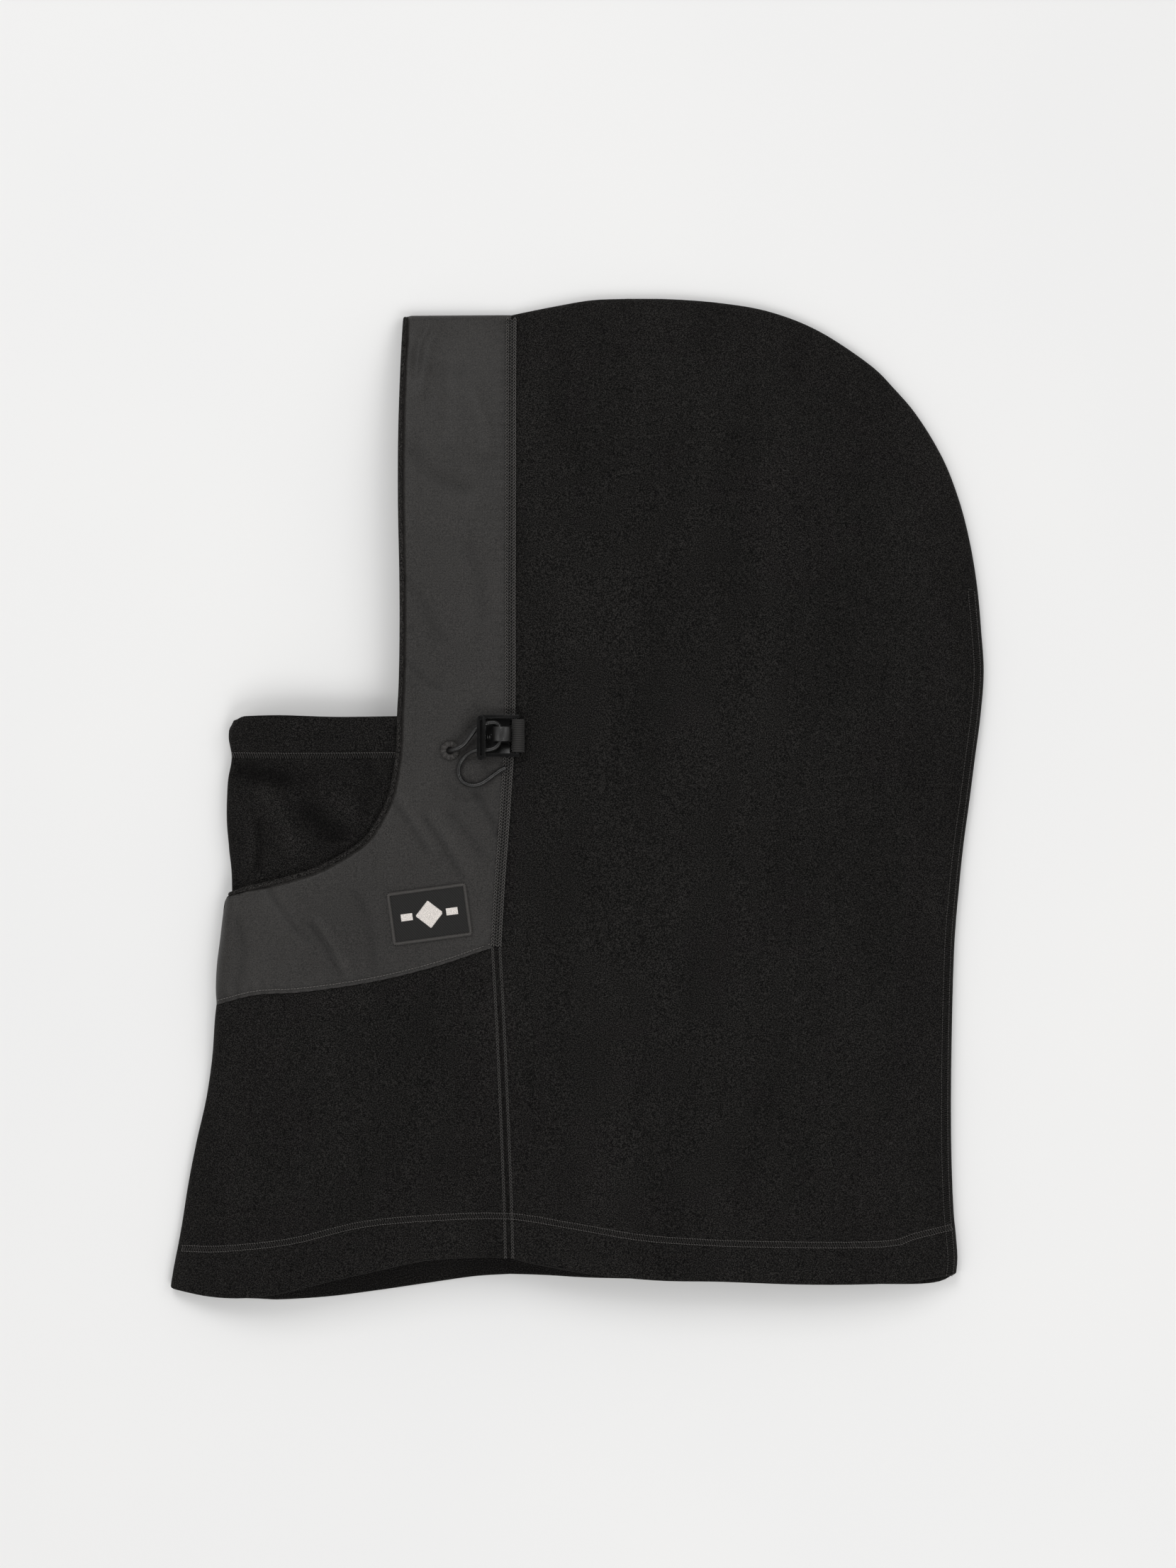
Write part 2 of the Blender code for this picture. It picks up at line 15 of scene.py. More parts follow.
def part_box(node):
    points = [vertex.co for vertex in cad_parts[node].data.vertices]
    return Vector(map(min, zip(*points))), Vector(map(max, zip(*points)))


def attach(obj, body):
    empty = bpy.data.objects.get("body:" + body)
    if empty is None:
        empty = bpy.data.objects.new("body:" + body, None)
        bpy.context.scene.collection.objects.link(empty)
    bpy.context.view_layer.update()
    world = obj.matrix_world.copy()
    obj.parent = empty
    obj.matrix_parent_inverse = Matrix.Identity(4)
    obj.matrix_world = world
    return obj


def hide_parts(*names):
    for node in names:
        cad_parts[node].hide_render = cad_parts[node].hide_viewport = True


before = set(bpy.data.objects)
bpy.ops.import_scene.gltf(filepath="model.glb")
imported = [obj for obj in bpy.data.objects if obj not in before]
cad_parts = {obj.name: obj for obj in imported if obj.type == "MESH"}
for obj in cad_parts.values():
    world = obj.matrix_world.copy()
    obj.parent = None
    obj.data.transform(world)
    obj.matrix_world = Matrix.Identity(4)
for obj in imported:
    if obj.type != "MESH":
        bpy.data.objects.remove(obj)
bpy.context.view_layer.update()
MM = 0.001

# Fabric sizes and heights, as in the part
FLEECE, FACING, WOVEN = 2.0, 1.2, 0.8
GAP, MASK_GAP = 0.3, 0.8
PUFF, PUFF_REACH = 16.0, 32.0
UPPER = FLEECE + 2 * GAP
CHIN_LIFT = 5.8
CHIN_FRONT, CHIN_REAR = -140.0, -90.0
CHIN_LOW, CHIN_HIGH = -130.0, -90.0
BUMP, BUMP_SHOULDER = 9.0, 10.0
BUMP_X, BUMP_Y = (-65.0, -18.0), (2.0, 42.0)
CHANNEL, CHANNEL_X, CHANNEL_HALF = 2.7, -54.5, 20.0

# Plan outlines, each from its lower or left end
FRONT_FOLD = [
    (-179, -214.5), (-177.6, -206), (-174.2, -188), (-171.2, -169), (-167.6, -150.5),
    (-163.4, -132), (-160.5, -113), (-159.2, -97), (-158.4, -89.8),
]
CHIN_FOLD = [
    (-158.4, -89.8), (-158.7, -82), (-158.2, -72), (-156.9, -62), (-155.6, -51),
    (-154.2, -43.5), (-152.6, -39.2),
]
MASK_FOLD = [
    (-152.6, -80), (-151.6, -38), (-152.8, -22), (-153.9, -8), (-153.4, 8), (-151.7, 18.6),
    (-153.0, 27.5), (-152.2, 36.5),
]
BACK_SEAM = [
    (166.6, -208.5), (167.2, -201), (166.4, -190), (165.4, -178), (164.5, -150), (164.6, -113),
    (165.8, -66), (168, -38), (170, -19), (172.6, 0), (174.9, 18), (177.4, 37), (178.8, 56),
    (177.7, 74.5), (176, 93.3), (173, 112), (168.3, 130.8), (161, 149.8), (150, 168.3),
    (139, 181.4), (128, 192),
]
CROWN = [
    (-29, 213.3), (-11, 216.9), (6, 219.8), (22, 220.5), (41, 220.3), (63, 218.6),
    (84.5, 214.8), (106, 206.4), (128, 192),
]
CROWN_TOP = 3
BAND_TOP = [(-77.7, 213), (-29, 213.3)]
SIDE_SEAM = [
    (-29.5, -198.7), (-30.3, -170), (-33.0, -105), (-35.2, -63.4), (-33.6, -36), (-31.2, -3),
    (-29.2, 35), (-29, 90), (-28.9, 150), (-29, 213.3),
]
JUNCTION = 3
UPPER_HEM_FRONT = [
    (-179, -214.5), (-161.5, -217), (-145.7, -217.2), (-129.8, -215), (-108.7, -209.6),
    (-87.6, -204.8), (-66.4, -200.2), (-45.3, -198.6), (-29.5, -198.7),
]
LOWER_HEM_FRONT = [
    (-179, -214.5), (-161.5, -218.6), (-140, -219.7), (-129.8, -220), (-108.7, -218.6),
    (-87.6, -215.9), (-66.4, -212.8), (-45.3, -209.8), (-29.5, -208.8),
]
UPPER_HEM_BACK = [
    (-29.5, -198.7), (-17, -201.8), (5.5, -205.7), (35, -208.5), (64.6, -209.2), (100, -210.6),
    (138.6, -210.9), (154, -209.6), (166.6, -208.5),
]
LOWER_HEM_BACK = [
    (-29.5, -208.8), (-14, -209.3), (8, -210.5), (52, -211.4), (95, -212.3), (139, -213.3),
    (158, -212.4), (166.6, -208.5),
]
OPENING_EDGE = [
    (-77.7, 213), (-78.4, 190), (-79.1, 160), (-79.1, 130), (-78.5, 100), (-78.4, 75),
    (-78.8, 52), (-79.5, 38), (-80.1, 21), (-82.9, 4), (-87.4, -6.5), (-93.8, -15.8),
    (-103.4, -22.5), (-113, -27.5), (-121, -30.4), (-129, -32.7), (-138.5, -35), (-146, -36.8),
    (-152.6, -39.2),
]
BAND_SIDE = [
    (-29, 213.3), (-29, 190), (-29, 160), (-29, 130), (-29, 100), (-29, 75), (-29, 52),
    (-29.1, 38), (-30, 21), (-30.8, 4), (-31.8, -10), (-33.1, -28), (-34.3, -46),
    (-35.2, -63.4),
]
BAND_UNDER = [(-35.2, -63.4), (-62, -72.4), (-90, -79.2), (-119, -83.4), (-140, -84.9), (-158.4, -89.8)]
UPPER_HEM_STITCH = [
    (-173.6, -196.7), (-155.4, -196), (-125, -192), (-94.5, -184.5), (-64, -181.4),
    (-30.7, -180.5), (-3.3, -184.5), (27, -189.7), (57.5, -192), (88, -193), (134, -193.4),
    (148, -190.4), (165.4, -187.2),
]
LOWER_HEM_STITCH = [
    (-174, -198), (-125, -200.5), (-64, -193.5), (-30, -190), (27, -192.5), (95, -194), (165.4, -191),
]
MASK_TOP_Y, MASK_REAR_X = 36.6, -77.5
MASK_CORNER, MASK_CORNER_PULL = 6.5, (1.3, -1.3)
MASK_STITCH_Y = 19.5

# Adjuster, above the seat plane that lies just off the band
SEAT_AT = (-43.0, 28.0)
SEAT_GAP = 0.4
CORD_RADIUS = 1.0
EYELET_CENTRE, EYELET_OUTER, EYELET_INNER = (-55.2, 21.5), 4.0, 1.7
ADJUSTER_CORD = [
    (-55.5, 21.5, -2.6), (-55.4, 21.4, -1.0), (-54.9, 21.5, 0.8), (-53.6, 21.8, 2.1),
    (-51.8, 22.4, 2.7), (-49.7, 23.6, 2.8), (-47.8, 25.5, 3.2), (-46.0, 27.9, 4.0),
    (-44.1, 30.3, 4.6), (-41.8, 32.1, 4.6), (-39.2, 33.2, 4.6), (-36.4, 33.6, 4.6),
    (-34.6, 33.1, 4.6), (-33.6, 31.7, 4.6), (-33.2, 29.8, 4.6), (-33.2, 27.6, 4.6),
    (-33.5, 25.6, 4.6), (-34.3, 23.8, 4.6), (-35.9, 22.5, 4.6), (-38.4, 21.8, 4.6),
    (-41.0, 21.7, 4.6), (-43.6, 21.5, 4.3), (-46.1, 20.7, 3.2), (-48.6, 18.9, 1.8),
    (-50.5, 16.4, 1.1), (-51.4, 13.6, 1.0), (-51.2, 10.7, 1.0), (-49.7, 8.2, 1.0),
    (-47.0, 6.7, 1.0), (-44.1, 6.5, 1.0), (-41.2, 7.4, 1.0), (-38.3, 9.3, 1.0),
    (-35.5, 11.4, 1.0), (-32.9, 13.2, 1.0), (-31.0, 14.0, 0.9),
]
ELASTIC_LEVELS = (186, 160, 130, 100, 75, 52, 38, 24)
# On the lock, what turns less than the first is one flat face, and what turns more than the second is
# an edge to bevel
FLAT, SHARP = math.radians(3), math.radians(35)

# Label
LABEL_CENTRE, LABEL_TURN = (-64.1, -49.5), math.radians(7.7)
LABEL_SIZE, LABEL_BORDER, LABEL_LIFT = (35.2, 23.4), 1.8, 0.4

# The band's edge and the rolled rim's middle, inward of the opening's outline
BAND_INSET, RIM_INSET = 3.3, 2.3
RIM_RADIUS = 1.1

# How softly the rise from several closed edges blends
BLUNT = 5.0
# No creases within these distances of the cord lock and of a closed edge
SEAT_CALM, EDGE_CALM = 26.0, 9
# The cloth's unevenness: height, lengths along x and y, and seed
RELIEF = ((0.9, 62, 80, 1), (0.3, 21, 26, 10))
# Round folds: the share of the depth that is their radius, its limit, and the rim's own
FOLD_SHARE, FOLD_MOST, RIM_FOLD = 0.42, 4.6, 3.4

# Sewing: the rise of a hem, the side seam's pitch, and the topstitch's place inside the band
HEM_RISE, SEAM_PITCH, TOPSTITCH_IN = 0.7, 1.35, 1.8
EYELET_STITCHES = 52

# The motif's diamond and bars, and the pitch, rise and least half length of its satin stitches
DIAMOND_HALF, BAR_HALF, BAR_REACH = 6.0, 1.5, (7.6, 12.4)
SATIN_PITCH, SATIN_RISE, SATIN_LEAST = 0.42, 0.16, 0.3

# Lengths of the grids along and across each piece, and how near a hem's edge points lie closer
HOOD_GRID, NECK_GRID, MASK_GRID, BAND_ACROSS, HEM_CLOSE = (440, 205), (125, 135), (117, 75), 50, 1.2
# The fewest rows between two of the opening's points below the side seam's corner
CHIN_ROWS = 14
# Grid steps, and how far a normal may turn from its neighbours' mean (as a cosine)
STEP, FINE_STEP = 2.6, 1.6
ODD_NORMAL = 0.35
GARMENT = "garment"

# What the camera sees, in millimetres, and how far above the table it stands
VIEW_SIZE = (518.4, 691.25)
VIEW_CENTRE = (4.7, 7.0)
CAMERA_HEIGHT = 1300.0

# The floor's half width and how far below the garment it lies, in metres
FLOOR_HALF, FLOOR_GAP = 2.2, 0.0002

# An even sky that goes dark about straight up, between two cosines, so that what faces up reflects little
WORLD_LIGHT, DARK_AT, DARK_TOP = 0.50, (0.0, 0.0, 1.0), (0.84, 0.97)
# Soft boxes round the table: heading in degrees and power in watts
LIGHT_AWAY, LIGHT_HIGH, LIGHT_SIZE = 1.1, 1.35, 0.85
LIGHTS = (("key", 112, 9.0), ("side_left", 205, 3.7), ("side_low", 290, 7.8), ("side_right", 20, 4.2))


# Plan curves and grids

def at_knots(points, places):
    """Points on a smooth curve at knot numbers, whole ones being the given points."""
    knots = np.array(points, float)
    knots = np.vstack([2 * knots[0] - knots[1], knots, 2 * knots[-1] - knots[-2]])
    k = np.clip(places.astype(int), 0, len(points) - 2)
    t = (places - k)[:, None]
    a, b, c, d = (knots[k + i] for i in range(4))
    return (2 * b + (c - a) * t + (2 * a - 5 * b + 4 * c - d) * t ** 2
            + (3 * b - a - 3 * c + d) * t ** 3) / 2


def distances(line):
    """How far along a line each of its points lies."""
    return np.concatenate([[0], np.cumsum(np.linalg.norm(np.diff(line, axis=0), axis=1))])


def curve(points, fractions):
    """Points at fractions of the length of a smooth curve through the given points."""
    reach = distances(np.array(points, float))
    places = np.clip(np.asarray(fractions, float), 0, 1) * reach[-1]
    return at_knots(points, np.interp(places, reach, np.arange(len(reach))))


def even(count):
    return np.linspace(0, 1, count + 1)


def spread(length, close_start=0.0, close_end=0.0, step=STEP):
    """Even fractions of a length, closer together towards an end that is rolled or rounded."""
    turn = 1 - np.cos(np.linspace(0, math.pi / 2, 7))
    parts = []
    start, end = close_start / length, 1 - close_end / length
    if close_start:
        parts.append(start * turn[:-1])
    parts.append(np.linspace(start, end, max(3, round((end - start) * length / step))))
    if close_end:
        parts.append(1 - (1 - end) * turn[:-1][::-1])
    return np.concatenate(parts)


def bow(edge, columns):
    """How far an edge's points lie from the straight line between its ends."""
    points, u = curve(edge, columns), columns[:, None]
    return (points - points[:1] * (1 - u) - points[-1:] * u)[None]


def patch(left, right, bottom, top, rows, columns):
    """A grid of plan points between four edges that share their corners."""
    u, v = columns[None, :, None], rows[:, None, None]
    grid = curve(left, rows)[:, None] * (1 - u) + curve(right, rows)[:, None] * u
    return grid + bow(bottom, columns) * (1 - v) + bow(top, columns) * v


def near(p, line):
    """Distance from plan points to a line, and how far along it each nearest place is."""
    flat = p.reshape(-1, 1, 2)
    start, step = line[:-1], np.diff(line, axis=0)
    size = np.maximum(np.linalg.norm(step, axis=1), 1e-6)
    t = np.clip(((flat - start) * step).sum(-1) / size ** 2, 0, 1)
    gap = np.linalg.norm(flat - start - t[..., None] * step, axis=-1)
    k = gap.argmin(axis=1)
    rows = np.arange(len(k))
    along = np.concatenate([[0], np.cumsum(size)])[k] + t[rows, k] * size[k]
    return gap[rows, k].reshape(p.shape[:-1]), along.reshape(p.shape[:-1])


def fine(points):
    return curve(points, even(59))


def unit(vectors):
    return vectors / np.maximum(np.linalg.norm(vectors, axis=-1, keepdims=True), 1e-9)


def to_left(ahead):
    """Unit vectors to the left of directions in the plan."""
    return unit(np.stack([-ahead[..., 1], ahead[..., 0]], -1))


# Heights

def smooth_step(low, high, value):
    t = np.clip((value - low) / (high - low), 0, 1)
    return t * t * (3 - 2 * t)


# The hood's grid has its top corner where the crown is highest
OUTLINE = [*BACK_SEAM, *CROWN[-2:CROWN_TOP:-1], CROWN[CROWN_TOP]]
BACK_AND_CROWN = np.concatenate([
    curve(OUTLINE, even(199)), curve(CROWN[:CROWN_TOP + 1], even(39)[::-1])[1:],
])
CLOSED_EDGES = [*map(fine, (FRONT_FOLD, CHIN_FOLD, MASK_FOLD[1:], BAND_TOP)), BACK_AND_CROWN]


def lift(p):
    """How far the upper layer stands off: nothing at the folds and at the back seam."""
    gaps = np.stack([near(p, edge)[0] for edge in CLOSED_EDGES])
    away = np.maximum(0, -BLUNT * np.log(np.exp(-gaps / BLUNT).sum(axis=0)))
    chin = smooth_step(CHIN_LOW, CHIN_HIGH, p[..., 1])
    chin = chin * (1 - smooth_step(CHIN_FRONT, CHIN_REAR, p[..., 0]))
    return PUFF * (1 - np.exp(-away / PUFF_REACH)) + CHIN_LIFT * chin


def bump(p):
    """Underside of the garment: on the table, but for a bump over the lower cord lock."""
    aside = [np.maximum(np.maximum(low - p[..., k], p[..., k] - high), 0)
             for k, (low, high) in enumerate((BUMP_X, BUMP_Y))]
    return BUMP * (1 - smooth_step(0, BUMP_SHOULDER, np.hypot(*aside)))


def channel(p):
    """Depth of the channel that the elastic runs in."""
    across = np.maximum(0, 1 - ((p[..., 0] - CHANNEL_X) / CHANNEL_HALF) ** 2)
    along = smooth_step(-10, 4, p[..., 1]) * (1 - smooth_step(190, 213, p[..., 1]))
    return CHANNEL * across * along


def relief(p):
    """The cloth's own soft unevenness."""
    found = [sum(high * noise.noise((x / long, y / tall, seed)) for high, long, tall, seed in RELIEF)
             for x, y in p.reshape(-1, 2)]
    return np.array(found).reshape(p.shape[:-1])


# Creases in the upper layer: a line, its half width and its height
CREASES = [
    ([(-61.6, 212), (-66.7, 204.8), (-69.5, 198), (-70.6, 186)], 1.6, -0.9),
    ([(-58.5, 212), (-63.2, 203), (-66.2, 192), (-67.5, 178)], 2.6, 0.7),
    ([(-72.5, 162), (-71.0, 140), (-72.0, 118)], 2.4, 0.35),
    ([(-57, 192), (-56.4, 176), (-57.4, 160)], 2.6, -0.3),
    ([(-36.7, -56.7), (-38.6, -59.6), (-39.8, -63.4)], 1.5, -0.6),
    ([(-139, -12), (-138.2, -22), (-139.4, -34)], 2.6, 0.6),
    ([(-134, -10), (-133.5, -24), (-135, -34)], 2.6, -0.4),
    ([(-95, -3), (-112, -14), (-130, -20)], 5.0, 0.5),
    ([(-46, -160), (-40, -110), (-44, -80)], 7.0, -0.9),
    ([(-25, -170), (-22, -120), (-27, -60)], 7.0, -0.7),
    ([(-150, -165), (-120, -140), (-90, -132)], 12.0, 1.0),
    ([(-150, -110), (-120, -104), (-95, -106)], 8.0, -0.7),
    ([(20, 190), (60, 180), (100, 160)], 14.0, 0.8),
    ([(120, 60), (130, 0), (128, -60)], 14.0, -0.9),
    ([(60, -120), (100, -100), (140, -60)], 12.0, 0.9),
]
# The same on the band alone, and on the half mask alone
BAND_CREASES = [
    ([(-79, -1), (-72, -11), (-65, -22)], 1.5, -1.02),
    ([(-76, 0), (-69, -10), (-62, -21)], 1.8, 0.85),
    ([(-66, -8), (-58, -20), (-50, -33)], 1.5, -1.1),
    ([(-62, -7), (-54, -19), (-46.5, -31)], 1.8, 0.85),
    ([(-55, -6), (-48, -14), (-41, -24)], 1.5, -0.85),
    ([(-116, -54), (-109, -64), (-103, -76)], 1.5, -1.19),
    ([(-112.5, -53), (-106, -63), (-99.5, -75)], 1.7, 0.77),
    ([(-136, -38), (-127, -50), (-118, -60)], 2.0, -0.68),
    ([(-149, -52), (-146, -66), (-148, -80)], 2.4, -0.59),
    ([(-96, -40), (-90, -55), (-88, -72)], 2.2, -0.68),
    ([(-71, 150), (-60, 139), (-48, 134)], 3.4, -0.59),
    ([(-74, 96), (-66, 84), (-60, 70)], 3.0, -0.68),
    ([(-47, 110), (-42, 96), (-40, 80)], 3.0, -0.59),
    ([(-45, 176), (-41, 166), (-39, 152)], 3.0, 0.59),
    ([(-74, 60), (-66, 52), (-60, 48)], 2.2, -0.68),
    ([(-56, 21.5), (-50, 27), (-44, 33)], 3.6, -0.7),
    ([(-55, 6), (-49, 0), (-41, 2)], 2.8, -0.6),
    ([(-45, 4), (-38.5, -6), (-34, -15)], 1.7, -1.2),
    ([(-78, 204), (-66, 190), (-50, 186)], 3.4, -0.5),
]
MASK_CREASES = [
    ([(-147, 13), (-135, 10.5), (-117, 8)], 4.6, -2.55),
    ([(-136, 3), (-130, -8), (-122, -22)], 4.2, 1.8),
    ([(-139, -10), (-138.4, -20), (-140, -31)], 1.8, -1.95),
    ([(-143.6, -8), (-143, -20), (-144.6, -30)], 2.5, 0.9),
    ([(-121, 8), (-110, 4), (-98, -7)], 4.5, 1.65),
    ([(-118, -5), (-110, -12), (-101, -19)], 4.5, -2.1),
    ([(-93, 15), (-89, 8), (-91, -2)], 4.0, -1.35),
]


def creased(p, creases):
    """The summed height of creases, each fading to its sides and past its ends."""
    return sum(high * np.exp(-(near(p, fine(line))[0] / wide) ** 2) for line, wide, high in creases)


def crumple(p):
    """Creases and unevenness of the upper layer, none of it under the cord lock."""
    total = relief(p) + creased(p, CREASES)
    away = np.hypot(p[..., 0] - SEAT_AT[0], p[..., 1] - SEAT_AT[1])
    edges = np.stack([near(p, edge)[0] for edge in CLOSED_EDGES]).min(axis=0)
    return total * (1 - np.exp(-(away / SEAT_CALM) ** 4)) * smooth_step(0, EDGE_CALM, edges)


def pucker(p, line, pitch, high, reach):
    """Small folds that cross a sewn line."""
    gap, along = near(p, line)
    wave = np.sin(2 * math.pi * along / pitch + 1.3 * np.sin(along / 17))
    return high * wave * np.exp(-(gap / reach) ** 2)


def dent(p, line, high, reach):
    return high * np.exp(-(near(p, line)[0] / reach) ** 2)


SIDE_LINE, UNDER_LINE, OPENING_LINE = fine(SIDE_SEAM), fine(BAND_UNDER), fine(OPENING_EDGE)
BACK_LINE, HEM_LINE = fine(BACK_SEAM), fine(UPPER_HEM_STITCH)
TOPSTITCH = [(x, y + TOPSTITCH_IN) for x, y in BAND_UNDER]
TOPSTITCH_LINE = fine(TOPSTITCH)


def hem_relief(p, line):
    """A turned hem: double cloth below its stitching, which sinks in."""
    gap, along = near(p, line)
    below = np.interp(p[..., 0], line[:, 0], line[:, 1]) - p[..., 1]
    sewn = -0.55 * np.exp(-(gap / 1.7) ** 2) + 0.22 * np.sin(along * 0.82) * np.exp(-(gap / 6) ** 2)
    return HEM_RISE * smooth_step(-1.5, 2.5, below) + sewn


def upper_panel(p):
    return UPPER + lift(p) + crumple(p)


def upper_cloth(p):
    """Top of the fleece of the upper layer."""
    z = upper_panel(p) + FLEECE + hem_relief(p, HEM_LINE)
    z = z + dent(p, SIDE_LINE, -0.5, 3.0) + pucker(p, SIDE_LINE, 6.8, 0.2, 7)
    return z + dent(p, BACK_LINE, 0.35, 5.0) * smooth_step(105, 60, p[..., 1])


def upper_band(p):
    return upper_panel(p) + FACING + GAP + WOVEN + band_folds(p)


def band_folds(p):
    """Creases of the band, and the puckers and furrows along its sewing."""
    sewn = pucker(p, SIDE_LINE, 4.6, 0.45, 5) + pucker(p, OPENING_LINE, 7.5, 0.14, 5)
    sewn = sewn + pucker(p, UNDER_LINE, 6.2, 0.42, 6) + dent(p, TOPSTITCH_LINE, -0.45, 1.1)
    return creased(p, BAND_CREASES) + sewn + dent(p, SIDE_LINE, -0.4, 3.0)


def fold_radius(top, bottom, least):
    return np.clip(FOLD_SHARE * (top - bottom), least, FOLD_MOST)


def quarter_round(fraction):
    """Height of a quarter circle, from nothing to one."""
    return np.sqrt(1 - (1 - np.clip(fraction, 0, 1)) ** 2)


def meeting(top, bottom, gap, radius):
    """Heights of an upper and a lower face that meet in a round fold where the gap is nothing."""
    full, middle = quarter_round(gap / radius), (top + bottom) / 2
    return middle + (top - middle) * full, middle - (middle - bottom) * full


def rolled(p, top, bottom, edge):
    """The same along an edge, with the radius that the depth there gives."""
    return meeting(top, bottom, near(p, edge)[0], fold_radius(top, bottom, 2.0))


def raised(p, z):
    return np.concatenate([p, z[..., None]], axis=-1)


# Mesh pieces

def material_on(item, material, body=GARMENT):
    item.data.materials.append(material)
    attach(item, body)
    return item


def grid_normals(grid):
    across = np.gradient(grid, axis=1)
    along = np.gradient(grid, axis=0)
    normal = unit(np.cross(across, along))
    # Where a corner lies on a smooth outline the two directions are parallel: use the neighbours
    wide = np.pad(normal, ((1, 1), (1, 1), (0, 0)), mode="edge")
    rows, columns = grid.shape[:2]
    around = unit(sum(wide[i:i + rows, j:j + columns] for i in range(3) for j in range(3)) - normal)
    odd = (normal * around).sum(-1) < ODD_NORMAL
    normal[odd] = around[odd]
    return normal


def edge_gap(grid, edges):
    """Distance to the nearest of the named free edges of a grid, measured along the cloth."""
    gaps = []
    for edge in edges:
        axis = 0 if edge.endswith("row") else 1
        run = grid if edge.startswith("first") else np.flip(grid, axis)
        steps = np.linalg.norm(np.diff(run, axis=axis), axis=-1)
        pad = [(1, 0), (0, 0)] if axis == 0 else [(0, 0), (1, 0)]
        gap = np.cumsum(np.pad(steps, pad), axis=axis)
        gaps.append(gap if edge.startswith("first") else np.flip(gap, axis))
    return np.stack(gaps).min(axis=0)


def shell(name, outer, thickness, free=(), flip=False):
    """A closed piece of cloth from the grid of its outer face. Its free edges are rounded."""
    normal = grid_normals(outer) * (-1 if flip else 1)
    half = thickness / 2
    full = quarter_round(edge_gap(outer, free) / half)[..., None] if free else 1.0
    faces = (outer - normal * half * (1 - full), outer - normal * half * (1 + full))
    bm = bmesh.new()
    verts = [[[bm.verts.new(q) for q in line] for line in (f * MM).tolist()] for f in faces]
    rows, columns = outer.shape[:2]
    for level, grid in enumerate(verts):
        for a, b in zip(grid, grid[1:]):
            for k in range(columns - 1):
                quad = (a[k], a[k + 1], b[k + 1], b[k])
                bm.faces.new(quad if (level == 0) != flip else quad[::-1])
    ring = [(0, k) for k in range(columns)] + [(k, columns - 1) for k in range(1, rows)]
    ring += [(rows - 1, k) for k in range(columns - 2, -1, -1)]
    ring += [(k, 0) for k in range(rows - 2, 0, -1)]
    for (i, j), (m, n) in zip(ring, ring[1:] + ring[:1]):
        quad = (verts[1][i][j], verts[1][m][n], verts[0][m][n], verts[0][i][j])
        bm.faces.new(quad if not flip else quad[::-1])
    bmesh.ops.remove_doubles(bm, verts=bm.verts[:], dist=1e-7)
    return mesh_object(name, bm)


def mark_fold_shade(item, folds):
    """Keeps the fold height of each point that looks up, for the material: painted shade darkens the
    hollows and a painted highlight lightens the ridges.
    """
    mesh = item.data
    place, normal = (np.empty(3 * len(mesh.vertices), np.float32) for _ in range(2))
    mesh.vertices.foreach_get("co", place)
    mesh.vertices.foreach_get("normal", normal)
    height = folds(place.reshape(-1, 3)[:, :2].astype(float) / MM) * (normal[2::3] > 0)
    mesh.attributes.new("fold", "FLOAT", "POINT").data.foreach_set("value", height.astype(np.float32))


def linked(name, data):
    item = bpy.data.objects.new(name, data)
    bpy.context.collection.objects.link(item)
    return item


def mesh_object(name, bm):
    mesh = bpy.data.meshes.new(name)
    bmesh.ops.recalc_face_normals(bm, faces=bm.faces[:])
    bm.to_mesh(mesh)
    bm.free()
    mesh.shade_smooth()
    return linked(name, mesh)


def thread(name, strands, radius, resolution=1, closed=False):
    """Threads or cords along lists of points in millimetres."""
    data = bpy.data.curves.new(name, "CURVE")
    data.dimensions = "3D"
    data.bevel_depth = radius * MM
    data.bevel_resolution = resolution
    data.use_fill_caps = True
    for points in strands:
        spline = data.splines.new("POLY")
        spline.points.add(len(points) - 1)
        flat = np.concatenate([np.asarray(points) * MM, np.ones((len(points), 1))], axis=1)
        spline.points.foreach_set("co", flat.ravel())
        spline.use_cyclic_u = closed
        spline.use_smooth = True
    return linked(name, data)


# Materials

# Bands to a metre in a wave texture whose scale is one
WAVE_BANDS = 3.18


